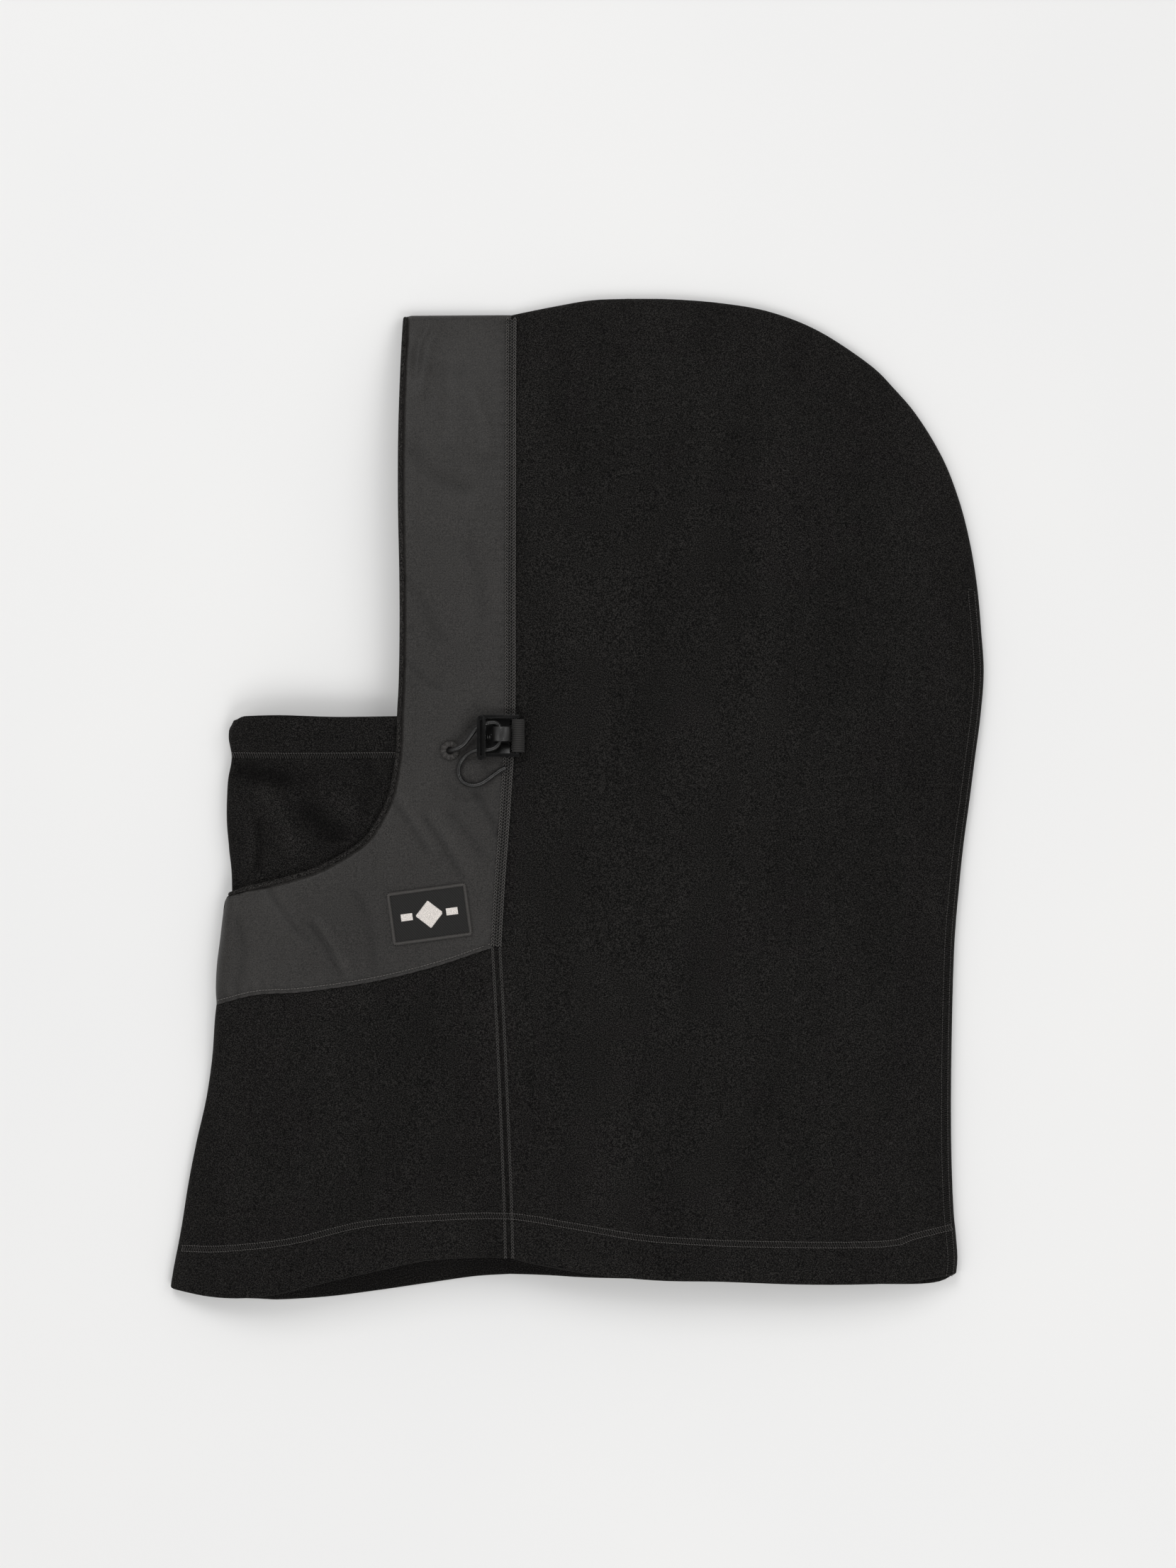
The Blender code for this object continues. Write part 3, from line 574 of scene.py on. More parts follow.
class Nodes:
    """A short way to add and link shader nodes."""

    def __init__(self, name):
        self.material = bpy.data.materials.new(name)
        self.material.use_nodes = True
        self.tree = self.material.node_tree
        self.shader = self.tree.nodes["Principled BSDF"]
        self.place = self.add("TexCoord").outputs["Object"]

    def add(self, kind, inputs=None, **settings):
        node = self.tree.nodes.new("ShaderNode" + kind)
        for key, value in settings.items():
            setattr(node, key, value)
        for key, value in (inputs or {}).items():
            self.set(node.inputs[key], value)
        return node

    def set(self, socket, value):
        if isinstance(value, bpy.types.NodeSocket):
            self.tree.links.new(value, socket)
        else:
            socket.default_value = value

    def texture(self, kind, size, out="Fac", place=None, inputs=None, **settings):
        """A texture whose pattern repeats at about a size in millimetres."""
        inputs = {"Vector": place or self.place, "Scale": 1 / (size * MM), **(inputs or {})}
        return self.add("Tex" + kind, inputs, **settings).outputs[out]

    def noise(self, size, detail=3.0, roughness=0.6, place=None):
        inputs = {"Detail": detail, "Roughness": roughness}
        return self.texture("Noise", size, place=place, inputs=inputs)

    def cells(self, size):
        return self.texture("Voronoi", size, out="Distance")

    def wave(self, size, direction, distortion=1.0):
        inputs = {"Distortion": distortion, "Detail": 1.0, "Detail Scale": 1.5}
        return self.texture("Wave", size * WAVE_BANDS, inputs=inputs, bands_direction=direction)

    def math(self, operation, a, b=0.0):
        node = self.add("Math", operation=operation)
        self.set(node.inputs[0], a)
        self.set(node.inputs[1], b)
        return node.outputs[0]

    def ramp(self, value, stops):
        node = self.add("ValToRGB", {"Fac": value})
        elements = node.color_ramp.elements
        for k, (place, colour) in enumerate(stops):
            element = elements[k] if k < 2 else elements.new(place)
            element.position = place
            element.color = (*colour, 1.0)
        return node.outputs["Color"]

    def folded(self, colour, strength):
        """The colour with painted shade, darker in the hollows, and a painted highlight, lighter on the
        ridges, from the fold heights kept on the mesh.
        """
        fold = self.add("Attribute", attribute_name="fold").outputs["Fac"]
        return self.scale_colour(colour, self.math("ADD", self.math("MULTIPLY", fold, strength), 1.0))

    def scale_colour(self, colour, factor):
        node = self.add("Mix", data_type="RGBA", blend_type="MULTIPLY")
        node.inputs["Factor"].default_value = 1.0
        self.set(node.inputs[6], colour)
        self.set(node.inputs[7], factor)
        return node.outputs[2]

    def bump(self, height, depth, before=None, strength=1.0):
        inputs = {"Height": height, "Distance": depth * MM, "Strength": strength}
        if before:
            inputs["Normal"] = before
        return self.add("Bump", inputs).outputs["Normal"]

    def finish(self, colour, roughness, normal, **constants):
        self.set(self.shader.inputs["Base Color"], colour)
        self.set(self.shader.inputs["Roughness"], roughness)
        self.set(self.shader.inputs["Normal"], normal)
        for key, value in constants.items():
            self.shader.inputs[key.replace("_", " ")].default_value = value
        return self.material


def grey(level, warm=1.0):
    """A near-neutral colour, a little warm as black cloth is."""
    return (level * (1 + 0.06 * warm), level, level * (1 - 0.05 * warm))


def fleece_material(name, level):
    n = Nodes(name)
    grain = n.noise(0.5, 2.0, 0.8)
    tall = n.add("Mapping", {"Vector": n.place, "Scale": (1.0, 0.4, 1.0)}).outputs["Vector"]
    broad = n.noise(24, 3.0, 0.55, tall)
    colour = n.ramp(grain, [(0.38, grey(level * 0.08)), (0.5, grey(level)), (0.62, grey(level * 4.0))])
    shade = n.ramp(broad, [(0.3, (0.84,) * 3), (0.7, (1.14,) * 3)])
    normal = n.bump(n.cells(0.9), 0.06)
    normal = n.bump(grain, 0.14, normal)
    normal = n.bump(n.noise(6, 3.0, 0.6), 0.4, normal, 0.6)
    # Painted shade in the hollows of the creases and a painted highlight on their ridges, from the fold
    # heights
    return n.finish(
        n.folded(n.scale_colour(colour, shade), 0.24), rough_of(n, grain, 0.82, 0.97), normal,
        Specular_IOR_Level=0.08, Sheen_Weight=0.03, Sheen_Roughness=0.45,
        Sheen_Tint=(0.75, 0.70, 0.66, 1.0),
    )


def rough_of(n, value, low, high):
    return n.math("ADD", n.math("MULTIPLY", value, high - low), low)


def woven_material(name, level):
    n = Nodes(name)
    warp, weft = n.wave(0.42, "X", 0.4), n.wave(0.42, "Y", 0.4)
    weave = n.math("MULTIPLY", warp, weft)
    streak = n.noise(0.5, 2.0, 0.8)
    broad = n.noise(34, 2.0, 0.5)
    colour = n.ramp(weave, [(0.0, grey(level * 0.72)), (1.0, grey(level * 1.3))])
    mixed = n.math("ADD", n.math("MULTIPLY", streak, 0.88), n.math("MULTIPLY", broad, 0.12))
    shade = n.ramp(mixed, [(0.38, (0.48,) * 3), (0.62, (1.52,) * 3)])
    normal = n.bump(weave, 0.02)
    normal = n.bump(n.noise(7, 3.0, 0.55), 0.14, normal, 0.6)
    # Painted shade in the hollows of the creases and a painted highlight on their ridges, from the fold
    # heights
    return n.finish(
        n.folded(n.scale_colour(colour, shade), 0.30), rough_of(n, streak, 0.42, 0.58), normal,
        Specular_IOR_Level=0.22, Sheen_Weight=0.02, Sheen_Roughness=0.4,
        Sheen_Tint=(0.85, 0.80, 0.75, 1.0),
    )


def thread_material(name, level):
    n = Nodes(name)
    strand = n.noise(0.22, 2.0, 0.6)
    normal = n.bump(n.noise(0.3, 2.0, 0.6), 0.08)
    colour = n.ramp(strand, [(0.3, grey(level * 0.5)), (0.7, grey(level * 1.8))])
    return n.finish(colour, rough_of(n, strand, 0.38, 0.62), normal,
                    Specular_IOR_Level=0.22, Sheen_Weight=0.06, Sheen_Roughness=0.3)


def braid_material(name, level):
    n = Nodes(name)
    weave = n.math("MULTIPLY", n.wave(0.5, "DIAGONAL", 0.5), n.wave(0.5, "X", 0.5))
    colour = n.ramp(weave, [(0.1, grey(level * 0.6)), (0.9, grey(level * 1.6))])
    normal = n.bump(weave, 0.04)
    return n.finish(colour, rough_of(n, n.noise(0.6), 0.26, 0.42), normal,
                    Specular_IOR_Level=0.5, Sheen_Weight=0.03, Sheen_Roughness=0.4)


def ribbed_material(name, level):
    n = Nodes(name)
    rib = n.wave(0.95, "Y", 0.2)
    fibre = n.noise(0.3, 2.0, 0.7)
    colour = n.ramp(rib, [(0.1, grey(level * 0.55)), (0.8, grey(level * 1.35))])
    shade = n.ramp(fibre, [(0.3, (0.8,) * 3), (0.7, (1.25,) * 3)])
    normal = n.bump(fibre, 0.06, n.bump(rib, 0.28))
    return n.finish(n.scale_colour(colour, shade), rough_of(n, fibre, 0.6, 0.85), normal,
                    Specular_IOR_Level=0.3, Sheen_Weight=0.1, Sheen_Roughness=0.4)


def twill_material(name, level):
    n = Nodes(name)
    line = n.wave(0.6, "DIAGONAL", 0.3)
    colour = n.ramp(line, [(0.1, grey(level * 0.6)), (0.9, grey(level * 1.6))])
    normal = n.bump(line, 0.1, n.bump(n.noise(0.5, 2.0, 0.6), 0.08))
    return n.finish(colour, rough_of(n, n.noise(0.8), 0.6, 0.85), normal,
                    Specular_IOR_Level=0.3, Sheen_Weight=0.08, Sheen_Roughness=0.4)


def plastic_material(name, level, low, high, grain):
    n = Nodes(name)
    mottle = n.noise(0.9, 4.0, 0.65)
    scuff = n.noise(3.5, 5.0, 0.75)
    colour = n.ramp(scuff, [(0.35, grey(level * 0.8, 0.4)), (0.75, grey(level * 1.5, 0.4))])
    return n.finish(colour, rough_of(n, scuff, low, high), n.bump(mottle, grain),
                    Specular_IOR_Level=0.5)


def steel_material():
    n = Nodes("spring_steel")
    brushed = n.noise(0.2, 3.0, 0.6)
    # Far darker than bare steel, so that the spring shows as dark as the deep recess between flange and
    # barrel: painted shade
    colour = n.ramp(brushed, [(0.3, (0.03, 0.03, 0.03)), (0.7, (0.07, 0.07, 0.07))])
    return n.finish(colour, rough_of(n, brushed, 0.22, 0.38), n.bump(brushed, 0.02), Metallic=1.0)


def floor_material():
    n = Nodes("pale_floor")
    tone = n.noise(180, 2.0, 0.5)
    colour = n.ramp(tone, [(0.3, (0.86, 0.86, 0.86)), (0.7, (0.875, 0.873, 0.868))])
    return n.finish(colour, 0.75, n.bump(n.noise(2.0), 0.02), Specular_IOR_Level=0.1)


def make_materials():
    return {
        "fleece": fleece_material("hood_fleece", 0.0062),
        "rim": fleece_material("rim_fleece", 0.011),
        "mask": fleece_material("mask_fleece", 0.0056),
        "woven": woven_material("band_nylon", 0.030),
        "thread": thread_material("black_thread", 0.007),
        "seam_thread": thread_material("seam_thread", 0.062),
        "dull_thread": thread_material("dull_thread", 0.040),
        "light_thread": thread_material("grey_thread", 0.085),
        "border": thread_material("border_thread", 0.060),
        "white_thread": thread_material("white_thread", 0.62),
        "cord": braid_material("braided_cord", 0.007),
        "webbing": ribbed_material("grosgrain_tape", 0.017),
        "label": twill_material("label_twill", 0.008),
        "plastic": plastic_material("lock_plastic", 0.003, 0.16, 0.27, 0.006),
        "barrel": plastic_material("barrel_rubber", 0.011, 0.26, 0.46, 0.11),
        "spring": steel_material(),
    }


# Fabric pieces

def make_hood(paint):
    rows = spread(HOOD_GRID[0], close_start=HEM_CLOSE, close_end=4.0)
    columns = spread(HOOD_GRID[1], close_end=3.4)
    for name, hem in (("hood_left", UPPER_HEM_BACK), ("hood_right", LOWER_HEM_BACK)):
        seam = [hem[0], *SIDE_SEAM[1:]]
        plan = patch(seam, OUTLINE, hem, CROWN[:CROWN_TOP + 1], rows, columns)
        up, down = rolled(plan, upper_cloth(plan), bump(plan), BACK_AND_CROWN)
        upper = name == "hood_left"
        piece = shell(name, raised(plan, up if upper else down), FLEECE, ("first_row",), flip=not upper)
        material_on(piece, paint["fleece"])
    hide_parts("hood_panel_left")
    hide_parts("hood_panel_right")


def folded(name, halves, thickness, free):
    """One piece of cloth from its upper half and its lower one, which meet at their first column."""
    upper, lower = halves
    outer = np.concatenate([upper[:, ::-1], lower[:, 1:]], axis=1)
    return shell(name, outer, thickness, free, flip=True)


def make_neck(paint):
    halves = []
    fold = fine(FRONT_FOLD)
    rows = spread(NECK_GRID[0], close_start=HEM_CLOSE)
    columns = spread(NECK_GRID[1], close_start=3.2)
    under = [tuple(q) for q in BAND_UNDER[::-1]]
    for hem, side in ((UPPER_HEM_FRONT, 0), (LOWER_HEM_FRONT, 1)):
        seam = [hem[-1], *SIDE_SEAM[1:JUNCTION + 1]]
        plan = patch(FRONT_FOLD, seam, hem, under, rows, columns)
        faces = rolled(plan, upper_cloth(plan), np.zeros(plan.shape[:-1]), fold)
        halves.append(raised(plan, faces[side]))
    piece = folded("neck_panel", halves, FLEECE, ("first_row",))
    material_on(piece, paint["fleece"])
    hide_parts("neck_panel_left", "neck_panel_right")


def beside(points, places, away):
    """Points at knot numbers of a smooth curve, moved to its left by a distance."""
    ahead = at_knots(points, np.minimum(places + 0.02, len(points) - 1))
    ahead = ahead - at_knots(points, np.maximum(places - 0.02, 0))
    return at_knots(points, places) + to_left(ahead) * away


def band_plan(columns, inset):
    """Plan grid of one side of the band: across from the opening outward, and down to the chin."""
    knots = len(OPENING_EDGE)
    corner = len(BAND_SIDE) - 1
    rows = []
    for k, span in enumerate(np.diff(distances(np.array(OPENING_EDGE, float)))):
        count = max(2, round(span / FINE_STEP), CHIN_ROWS if k >= corner else 0)
        rows += [k + j / count for j in range(count)]
    # Closer rows where the band rolls under at the chin, and at its top edge
    close = 1 - 0.45 * (1 - np.cos(np.linspace(math.pi / 2, 0, 8)))
    rows = [r for r in rows if r < knots - 1.45] + list(knots - 2 + close)
    rows = np.array([0.0, 0.004, 0.016, 0.036, 0.064, 0.10] + [r for r in rows if r > 0.12])
    inner = beside(OPENING_EDGE, rows, inset)
    first = rows <= corner
    side = at_knots(BAND_SIDE, rows[first])
    under = at_knots(BAND_UNDER, (rows[~first] - corner))
    outer = np.concatenate([side, under])
    u = columns[None, :, None]
    grid = inner[:, None] * (1 - u) + outer[:, None] * u
    fold = curve([tuple(inner[-1]), *CHIN_FOLD[-2::-1]], columns)
    straight = inner[-1] * (1 - columns[:, None]) + outer[-1] * columns[:, None]
    near_fold = smooth_step(knots - 3.5, knots - 1, rows)[:, None, None]
    return grid + (fold - straight)[None] * near_fold


def strip(name, plan, top, bottom, thickness, free):
    """The band or its facing, in one length: down the upper side, round the chin, back below."""
    gap = np.minimum(near(plan, fine(CHIN_FOLD))[0], near(plan, fine(BAND_TOP))[0])
    high, low = top(plan), bottom(plan)
    upper, lower = (raised(plan, z) for z in meeting(high, low, gap, fold_radius(high, low, 1.6)))
    return shell(name, np.concatenate([upper, lower[-2::-1]]), thickness, free, flip=True)


def make_band(paint):
    columns = spread(BAND_ACROSS, close_end=0.9, step=FINE_STEP)
    piece = strip("face_band", band_plan(columns, BAND_INSET), upper_band, bump, WOVEN,
                  ("first_column", "last_column"))
    # Fold heights for the band's painted shade in hollows and painted highlight on ridges
    mark_fold_shade(piece, band_folds)
    material_on(piece, paint["woven"])
    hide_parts("face_band_left", "face_band_right")

    columns = even(21)
    lining = strip("band_facing", band_plan(columns, RIM_INSET), facing_top, facing_bottom, FACING,
                   ("first_column", "last_column"))
    material_on(lining, paint["fleece"])
    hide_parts("band_facing_left", "band_facing_right")


def facing_top(p):
    """Just inside the band, and as deep as the band's own hollows."""
    return upper_panel(p) + FACING - channel(p) - 0.1 + np.minimum(0, band_folds(p) + GAP)


def facing_bottom(p):
    return bump(p) + WOVEN + GAP + channel(p) * (bump(p) < BUMP / 2)


def make_rim(paint):
    """The rolled fleece edge that shows all along the opening."""
    end = [(x, y - RIM_RADIUS) for x, y in BAND_TOP]
    plan = band_plan(np.array([0.0, 1.0]), RIM_INSET)[:, 0]
    plan = plan[plan[:, 1] <= end[0][1]]
    top, low = upper_panel(plan) + 1.35, bump(plan) + 1.15
    gap = np.minimum(near(plan, fine(CHIN_FOLD))[0], near(plan, fine(end))[0])
    upper, lower = (raised(plan, z) for z in meeting(top, low, gap, RIM_FOLD))
    rim = thread("opening_rim", [np.concatenate([upper, lower[-2::-1]])], RIM_RADIUS, 4)
    material_on(rim, paint["rim"])


MASK_SEAM = np.array([(-160, MASK_STITCH_Y), (-70, MASK_STITCH_Y)], float)
MASK_LOW = WOVEN + GAP + FACING + MASK_GAP


def mask_cloth(p):
    """Top of the half mask: its own soft folds, and double cloth above its stitching."""
    hem = 0.5 * smooth_step(MASK_STITCH_Y - 1, MASK_STITCH_Y + 2.5, p[..., 1])
    return upper_panel(p) - MASK_GAP + hem + mask_folds(p)


def mask_folds(p):
    clear = smooth_step(0, 7, near(p, OPENING_LINE)[0])
    sewn = dent(p, MASK_SEAM, -0.5, 1.6) + pucker(p, MASK_SEAM, 7.0, 0.2, 6)
    return sewn + creased(p, MASK_CREASES) * clear


def make_mask(paint):
    fold = fine(MASK_FOLD)
    rows = spread(MASK_GRID[0], close_end=HEM_CLOSE, step=FINE_STEP)
    columns = spread(MASK_GRID[1], close_start=3.0, step=FINE_STEP)
    top = [MASK_FOLD[-1], (-130, 37.0), (-105, 36.3), (MASK_REAR_X, MASK_TOP_Y)]
    bottom = [MASK_FOLD[0], (MASK_REAR_X, -73)]
    plan = patch(MASK_FOLD, [bottom[-1], top[-1]], bottom, top, rows, columns)
    faces = rolled(plan, mask_cloth(plan), np.full(plan.shape[:-1], MASK_LOW), fold)
    away = np.hypot(plan[..., 0] - top[0][0], plan[..., 1] - top[0][1])
    plan = plan + (1 - smooth_step(0, MASK_CORNER, away))[..., None] * MASK_CORNER_PULL
    halves = [raised(plan, face) for face in faces]
    piece = folded("half_mask", halves, FLEECE, ("last_row",))
    # Fold heights for the mask's painted shade in hollows and painted highlight on ridges
    mark_fold_shade(piece, mask_folds)
    material_on(piece, paint["mask"])
    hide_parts("mask_panel_left", "mask_panel_right")
    line = [(-151.3, MASK_STITCH_Y), (-120, MASK_STITCH_Y - 0.3), (-78.5, MASK_STITCH_Y)]
    over = lambda p: rolled(p, mask_cloth(p), np.full(p.shape[:-1], MASK_LOW), fold)[0] + 0.25
    cover = [zigzag(1.1, 2.2), dashes(1.1, 0.55, 1.2)]
    sew(paint, "mask_stitch", line, over, cover, 0.16, "seam_thread")


# Sewing

def track(points):
    """The length of a smooth plan line, and a function that gives points along and beside it."""
    line = curve(points, even(239))
    reach = distances(line)

    def at(along, aside):
        middle = np.stack([np.interp(along, reach, line[:, k]) for k in (0, 1)], -1)
        ahead = [np.interp(along + 0.6, reach, line[:, k]) - np.interp(along - 0.6, reach, line[:, k])
                 for k in (0, 1)]
        return middle + to_left(np.stack(ahead, -1)) * aside[..., None]

    return reach[-1], at


def zigzag(pitch, wide, centre=0.0):
    """One thread to and fro across the line."""
    def strands(length):
        count = int(length / pitch * 2)
        side = np.where(np.arange(count) % 2, 0.5, -0.5) * wide + centre
        return [np.stack([np.arange(count) * pitch / 2, side, np.full(count, 0.1)], -1)]
    return strands


def dashes(pitch, long, centre=0.0):
    """Separate stitches along the line, each with its ends sunk in."""
    def strands(length):
        places = ((0, -0.12), (0.2, 0.14), (0.8, 0.14), (1, -0.12))
        shape = np.array([(along * long, centre, high) for along, high in places])
        return [shape + (k * pitch, 0, 0) for k in range(int(length / pitch))]
    return strands


def chevrons(pitch, wide, centre):
    """Interlocking loops, each a short V that points along the seam."""
    def strands(length):
        half = [(0, -0.5, -0.08), (0.55, -0.32, 0.2), (0.95, 0, 0.28)]
        shape = np.array(half + [(x, -y, z) for x, y, z in half[-2::-1]]) * (pitch, wide, 1)
        return [shape + (k * pitch, centre, 0) for k in range(int(length / pitch))]
    return strands


def runs(places):
    """Straight threads side by side along the line: the ground of a flat seam."""
    def strands(length):
        along = np.arange(0, length, 1.5)
        level = np.zeros_like(along)
        return [np.stack([along, level + place, level], -1) for place in places]
    return strands


def sew(paint, name, line, height, pattern, radius, ink, up=1):
    """Threads along a line on a face that looks up, or down with up = -1."""
    length, at = track(line)
    strands = pattern(length) if callable(pattern) else [s for part in pattern for s in part(length)]
    sizes = np.cumsum([len(s) for s in strands])[:-1]
    every = np.concatenate(strands)
    plan = at(every[:, 0], every[:, 1])
    points = raised(plan, height(plan) + up * every[:, 2])
    piece = thread(name, np.split(points, sizes), radius)
    material_on(piece, paint[ink])


def make_seams(paint):
    """Every seam that shows, sewn on the upper side of the garment and again on the lower one."""
    band_seam, neck_seam = [*SIDE_SEAM[JUNCTION:-1], (-29, 212.4)], SIDE_SEAM[:JUNCTION + 1]
    chin_edge = fine(CHIN_FOLD)
    top_edge = np.concatenate([fine(BAND_TOP), BACK_AND_CROWN[::-1]])
    ground = runs((-1.9, -0.95, 0, 0.95, 1.9))
    wide, slim = ([chevrons(SEAM_PITCH, w, -1.6), chevrons(SEAM_PITCH, w, 1.6)] for w in (1.25, 1.0))
    wide.append(zigzag(SEAM_PITCH, 1.3))
    cover = [zigzag(1.1, 2.2), dashes(1.1, 0.6, 1.2), dashes(1.1, 0.6, -1.2)]
    back_cover = [dashes(1.3, 0.8), zigzag(0.9, 2.6, -1.4)]
    backs = [[(x - inset, y) for x, y in BACK_SEAM[:15]] for inset in (1.9, 4.8)]
    join = lambda p: rolled(p, np.maximum(upper_cloth(p), upper_band(p)), bump(p), top_edge)[0] + 0.1
    on_top = lambda p: upper_cloth(p) + 0.15
    over_chin = lambda p: rolled(p, upper_band(p), bump(p), chin_edge)[0] + 0.3
    by_back = lambda p: rolled(p, upper_cloth(p), bump(p), BACK_AND_CROWN)[0] + 0.12
    under_chin = lambda p: rolled(p, upper_band(p), bump(p), chin_edge)[1]
    under_back = lambda p: rolled(p, upper_cloth(p), bump(p), BACK_AND_CROWN)[1]
    for side, up, hem, (seam, cloth, chin, back) in (
            ("left", 1, UPPER_HEM_STITCH, (join, on_top, over_chin, by_back)),
            ("right", -1, LOWER_HEM_STITCH, (bump, bump, under_chin, under_back))):
        proud = lambda p, seam=seam, up=up: seam(p) + up * 0.35
        for name, line, face, pattern, radius, ink in (
                ("side_seam_ground", band_seam, seam, ground, 0.5, "thread"),
                ("side_seam_stitch", band_seam, proud, wide, 0.21, "seam_thread"),
                ("neck_seam_stitch", neck_seam, cloth, slim, 0.2, "dull_thread"),
                ("hem_stitch", hem, cloth, cover, 0.17, "seam_thread"),
                ("band_topstitch", TOPSTITCH, chin, dashes(1.4, 0.85), 0.2, "light_thread"),
                ("back_seam_stitch", backs[0], back, dashes(1.3, 0.8), 0.17, "dull_thread"),
                ("back_cover_stitch", backs[1], back, back_cover, 0.15, "dull_thread")):
            sew(paint, f"{name}_{side}", line, face, pattern, radius, ink, up)


# Label

def label_frame(across, up):
    c, s = math.cos(LABEL_TURN), math.sin(LABEL_TURN)
    across, up = np.asarray(across, float), np.asarray(up, float)
    return np.stack([LABEL_CENTRE[0] + c * across - s * up, LABEL_CENTRE[1] + s * across + c * up], -1)


def label_base(p):
    return upper_band(p) + LABEL_LIFT * 0.5


def make_label(paint):
    wide, high = (size / 2 - LABEL_BORDER * 0.6 for size in LABEL_SIZE)
    across, up = np.meshgrid(np.linspace(-wide, wide, 26), np.linspace(-high, high, 18))
    plan = label_frame(across, up)
    field = shell("label_field", raised(plan, label_base(plan) + 0.75), 0.7)
    material_on(field, paint["label"])
    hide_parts("label_patch")

    outline = rounded_rectangle(LABEL_SIZE[0] - LABEL_BORDER, LABEL_SIZE[1] - LABEL_BORDER, 0.35)
    count = len(outline)
    plan = label_frame(outline[:, 0], outline[:, 1])
    core = thread("label_border_core", [raised(plan, label_base(plan) + 0.55)], 0.45, 3, closed=True)
    material_on(core, paint["border"])
    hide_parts("label_border")
    ahead = unit(np.roll(outline, -1, 0) - np.roll(outline, 1, 0))
    out = -to_left(ahead)
    strands = []
    arc = np.linspace(-1.35, 1.35, 6)
    for k in range(count):
        local = outline[k] + np.outer(np.sin(arc) * 0.68, out[k]) + np.outer(arc * 0.22, ahead[k])
        plan = label_frame(local[:, 0], local[:, 1])
        strands.append(raised(plan, label_base(plan) + 0.45 + 0.62 * np.cos(arc)))
    stitch = thread("label_border_stitch", strands, 0.18)
    material_on(stitch, paint["border"])
    make_motif(paint)


def rounded_rectangle(wide, high, radius, pitch=0.6):
    """Points at an even pitch round a rectangle with round corners."""
    corners = []
    for sx, sy, start in ((1, -1, -90), (1, 1, 0), (-1, 1, 90), (-1, -1, 180)):
        angles = np.radians(start + np.linspace(0, 90, 7))
        centre = np.array([sx * (wide / 2 - radius), sy * (high / 2 - radius)])
        corners.append(centre + radius * np.stack([np.cos(angles), np.sin(angles)], -1))
    ring = np.concatenate([*corners, corners[0][:1]])
    reach = distances(ring)
    places = np.linspace(0, reach[-1], int(reach[-1] / pitch) + 1)[:-1]
    return np.stack([np.interp(places, reach, ring[:, k]) for k in (0, 1)], -1)


def make_motif(paint):
    """A plain ornament in place of any mark: a diamond between two short bars, in satin stitch."""
    satin = [(x, DIAMOND_HALF - abs(x)) for x in np.arange(-DIAMOND_HALF, DIAMOND_HALF, SATIN_PITCH)]
    satin += [(side * x, BAR_HALF) for side in (-1, 1) for x in np.arange(*BAR_REACH, SATIN_PITCH)]
    arch = SATIN_RISE * np.sin(math.pi * even(6))
    strands = []
    for x, half in satin:
        if half > SATIN_LEAST:
            plan = label_frame(np.full(7, x), half * (2 * even(6) - 1))
            strands.append(raised(plan, label_base(plan) + 0.78 + arch))
    piece = thread("label_motif", strands, 0.24)
    material_on(piece, paint["white_thread"])


# Adjuster

def refined(node, name, material, body, width, segments=3):
    """A finer copy of a CAD piece, with its edges broken, that stands for it."""
    bm = bmesh.new()
    graph = bpy.context.evaluated_depsgraph_get()
    bm.from_object(frame_node(node), graph)
    bm.transform(frame_node(node).matrix_world)
    bmesh.ops.remove_doubles(bm, verts=bm.verts[:], dist=1e-6)
    bmesh.ops.dissolve_limit(bm, angle_limit=FLAT, verts=bm.verts[:], edges=bm.edges[:])
    item = mesh_object(name, bm)
    bevel = item.modifiers.new("edges", "BEVEL")
    bevel.width, bevel.segments = width * MM, segments
    bevel.limit_method, bevel.angle_limit = "ANGLE", SHARP
    bevel.use_clamp_overlap = bevel.harden_normals = True
    material_on(item, material, body)
    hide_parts(node)
    return item


def frame_node(name):
    return bpy.data.objects[name]


def seats():
    """Seat planes of the upper and the lower adjuster, from the housings' own boxes, in mm."""
    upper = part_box("cord_lock_housing_left")[0][2] / MM
    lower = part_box("cord_lock_housing_right")[1][2] / MM
    return {"left": (upper, 1), "right": (lower, -1)}


def make_cords(paint):
    for side, (seat, up) in seats().items():
        route = [(x, y, seat + up * z) for x, y, z in ADJUSTER_CORD]
        points = curve(route, even(120))
        cord = thread(f"adjuster_cord_visible_{side}", [points], CORD_RADIUS, 4)
        material_on(cord, paint["cord"])
        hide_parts(f"adjuster_cord_{side}")
    middle = CORD_RADIUS + (CHANNEL + GAP - 2 * CORD_RADIUS) / 2
    for side in ("left", "right"):
        plan = np.array([(CHANNEL_X, y) for y in ELASTIC_LEVELS], float)
        if side == "left":
            z = upper_panel(plan) + FACING + GAP - middle
        else:
            z = bump(plan) + WOVEN + middle
        elastic = thread(f"band_elastic_{side}", [curve(raised(plan, z), even(60))], CORD_RADIUS, 2)
        material_on(elastic, paint["cord"])
        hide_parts(f"elastic_cord_{side}")


def make_adjusters(paint):
    for side, (seat, up) in seats().items():
        refined(f"cord_lock_housing_{side}", f"lock_housing_{side}", paint["plastic"],
                GARMENT, 0.35)
        refined(f"cord_lock_button_{side}", f"lock_barrel_{side}", paint["barrel"],
                f"cord_lock_button_{side}", 0.4)
        refined(f"webbing_tab_{side}", f"lock_tab_{side}", paint["webbing"], GARMENT, 0.2, 2)
        frame_node(f"cord_lock_spring_{side}").data.materials[0] = paint["spring"]
        make_eyelet(paint, side, seat, up)


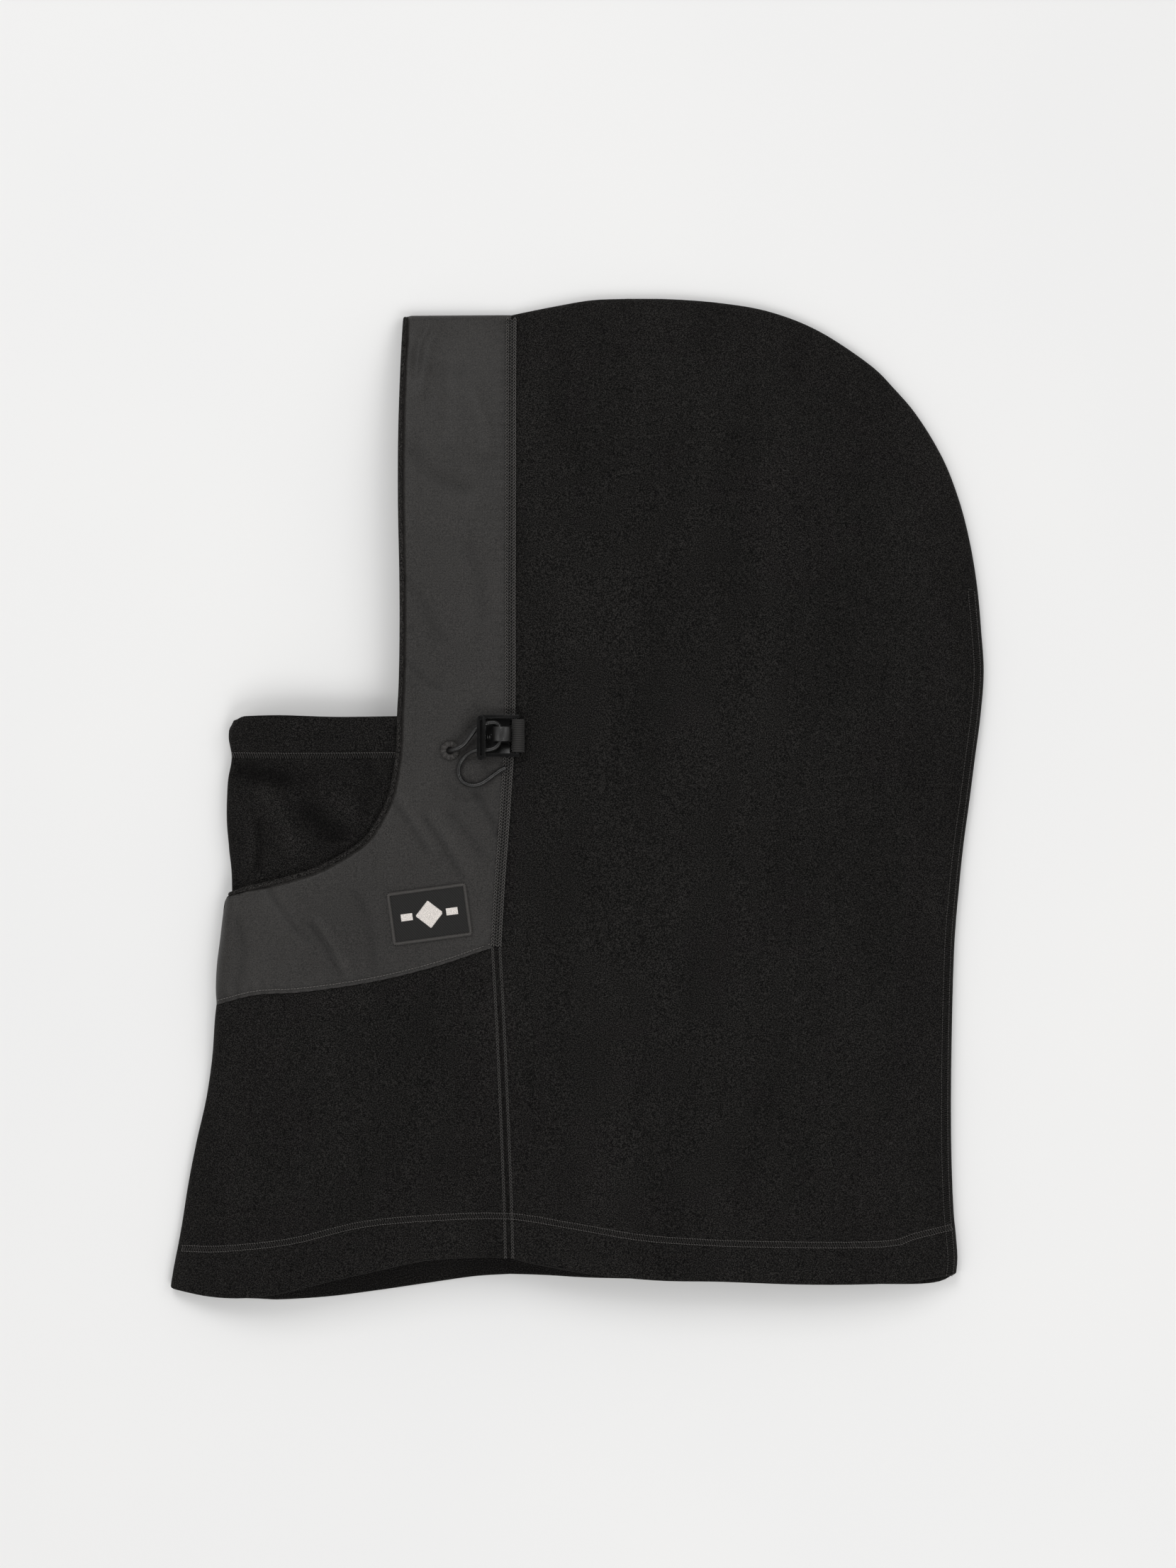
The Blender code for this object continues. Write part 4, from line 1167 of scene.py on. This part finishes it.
def make_eyelet(paint, side, seat, up):
    """A sewn eyelet: a ring of thread laid to and fro over a padded core."""
    core_radius, reach = (EYELET_OUTER + EYELET_INNER) / 2, (EYELET_OUTER - EYELET_INNER) / 2
    angles = 2 * math.pi * even(40)[:-1]
    level = seat - up * (SEAT_GAP - 0.25)
    centre = np.array(EYELET_CENTRE)
    ring = centre + core_radius * np.stack([np.cos(angles), np.sin(angles)], -1)
    padding = raised(ring, np.full(len(ring), level))
    core = thread(f"eyelet_core_{side}", [padding], 0.62, 3, closed=True)
    material_on(core, paint["thread"])
    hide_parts(f"eyelet_{side}")
    strands = []
    arc = np.linspace(-1.4, 1.4, 7)
    for k in range(EYELET_STITCHES):
        angle = 2 * math.pi * k / EYELET_STITCHES + 0.05 * math.sin(5.1 * k)
        out = core_radius + reach * np.sin(arc) * (1 + 0.06 * math.sin(7.3 * k))
        turned = angle + 0.05 * arc
        plan = centre + np.stack([np.cos(turned), np.sin(turned)], -1) * out[:, None]
        strands.append(raised(plan, level + up * 0.66 * np.cos(arc)))
    stitch = thread(f"eyelet_stitch_{side}", strands, 0.2)
    material_on(stitch, paint["dull_thread"])


# Surroundings

def make_stage():
    bm = bmesh.new()
    bmesh.ops.create_grid(bm, x_segments=8, y_segments=8, size=FLOOR_HALF)
    floor = mesh_object("floor", bm)
    floor.location = (0, 0, -FLOOR_GAP)
    floor.data.materials.append(floor_material())


def area_light(name, place, power):
    """A soft box that faces the origin."""
    data = bpy.data.lights.new(name, "AREA")
    data.size, data.energy = LIGHT_SIZE, power
    lamp = linked(name, data)
    lamp.location = place
    lamp.rotation_euler = (-Vector(place)).to_track_quat("-Z", "Y").to_euler()


def make_lights():
    world = bpy.data.worlds.new("studio")
    bpy.context.scene.world = world
    world.use_nodes = True
    background = world.node_tree.nodes["Background"]
    background.inputs["Strength"].default_value = WORLD_LIGHT
    nodes, links = world.node_tree.nodes, world.node_tree.links
    ramp = nodes.new("ShaderNodeValToRGB")
    ramp.color_ramp.elements[0].position, ramp.color_ramp.elements[1].position = DARK_TOP
    ramp.color_ramp.elements[0].color = (1.0, 0.995, 0.985, 1.0)
    ramp.color_ramp.elements[1].color = (0.12, 0.12, 0.12, 1.0)
    facing = nodes.new("ShaderNodeVectorMath")
    facing.operation = "DOT_PRODUCT"
    facing.inputs[1].default_value = DARK_AT
    links.new(nodes.new("ShaderNodeTexCoord").outputs["Generated"], facing.inputs[0])
    links.new(facing.outputs["Value"], ramp.inputs["Fac"])
    links.new(ramp.outputs["Color"], background.inputs["Color"])
    for name, heading, power in LIGHTS:
        turn = math.radians(heading)
        place = (LIGHT_AWAY * math.cos(turn), LIGHT_AWAY * math.sin(turn), LIGHT_HIGH)
        area_light(name, place, power)


def make_camera():
    data = bpy.data.cameras.new("camera")
    data.sensor_fit = "VERTICAL"
    data.lens = data.sensor_height * CAMERA_HEIGHT / VIEW_SIZE[1]
    data.clip_start, data.clip_end = 0.05, 20
    camera = linked("camera", data)
    camera.location = (VIEW_CENTRE[0] * MM, VIEW_CENTRE[1] * MM, CAMERA_HEIGHT * MM)
    bpy.context.scene.camera = camera
    bpy.context.scene.view_settings.view_transform = "Standard"


def main():
    make_camera()
    paint = make_materials()
    make_cords(paint)
    make_hood(paint)
    make_neck(paint)
    make_band(paint)
    make_rim(paint)
    make_mask(paint)
    make_label(paint)
    make_adjusters(paint)
    make_seams(paint)
    make_stage()
    make_lights()


main()
bpy.context.view_layer.update()
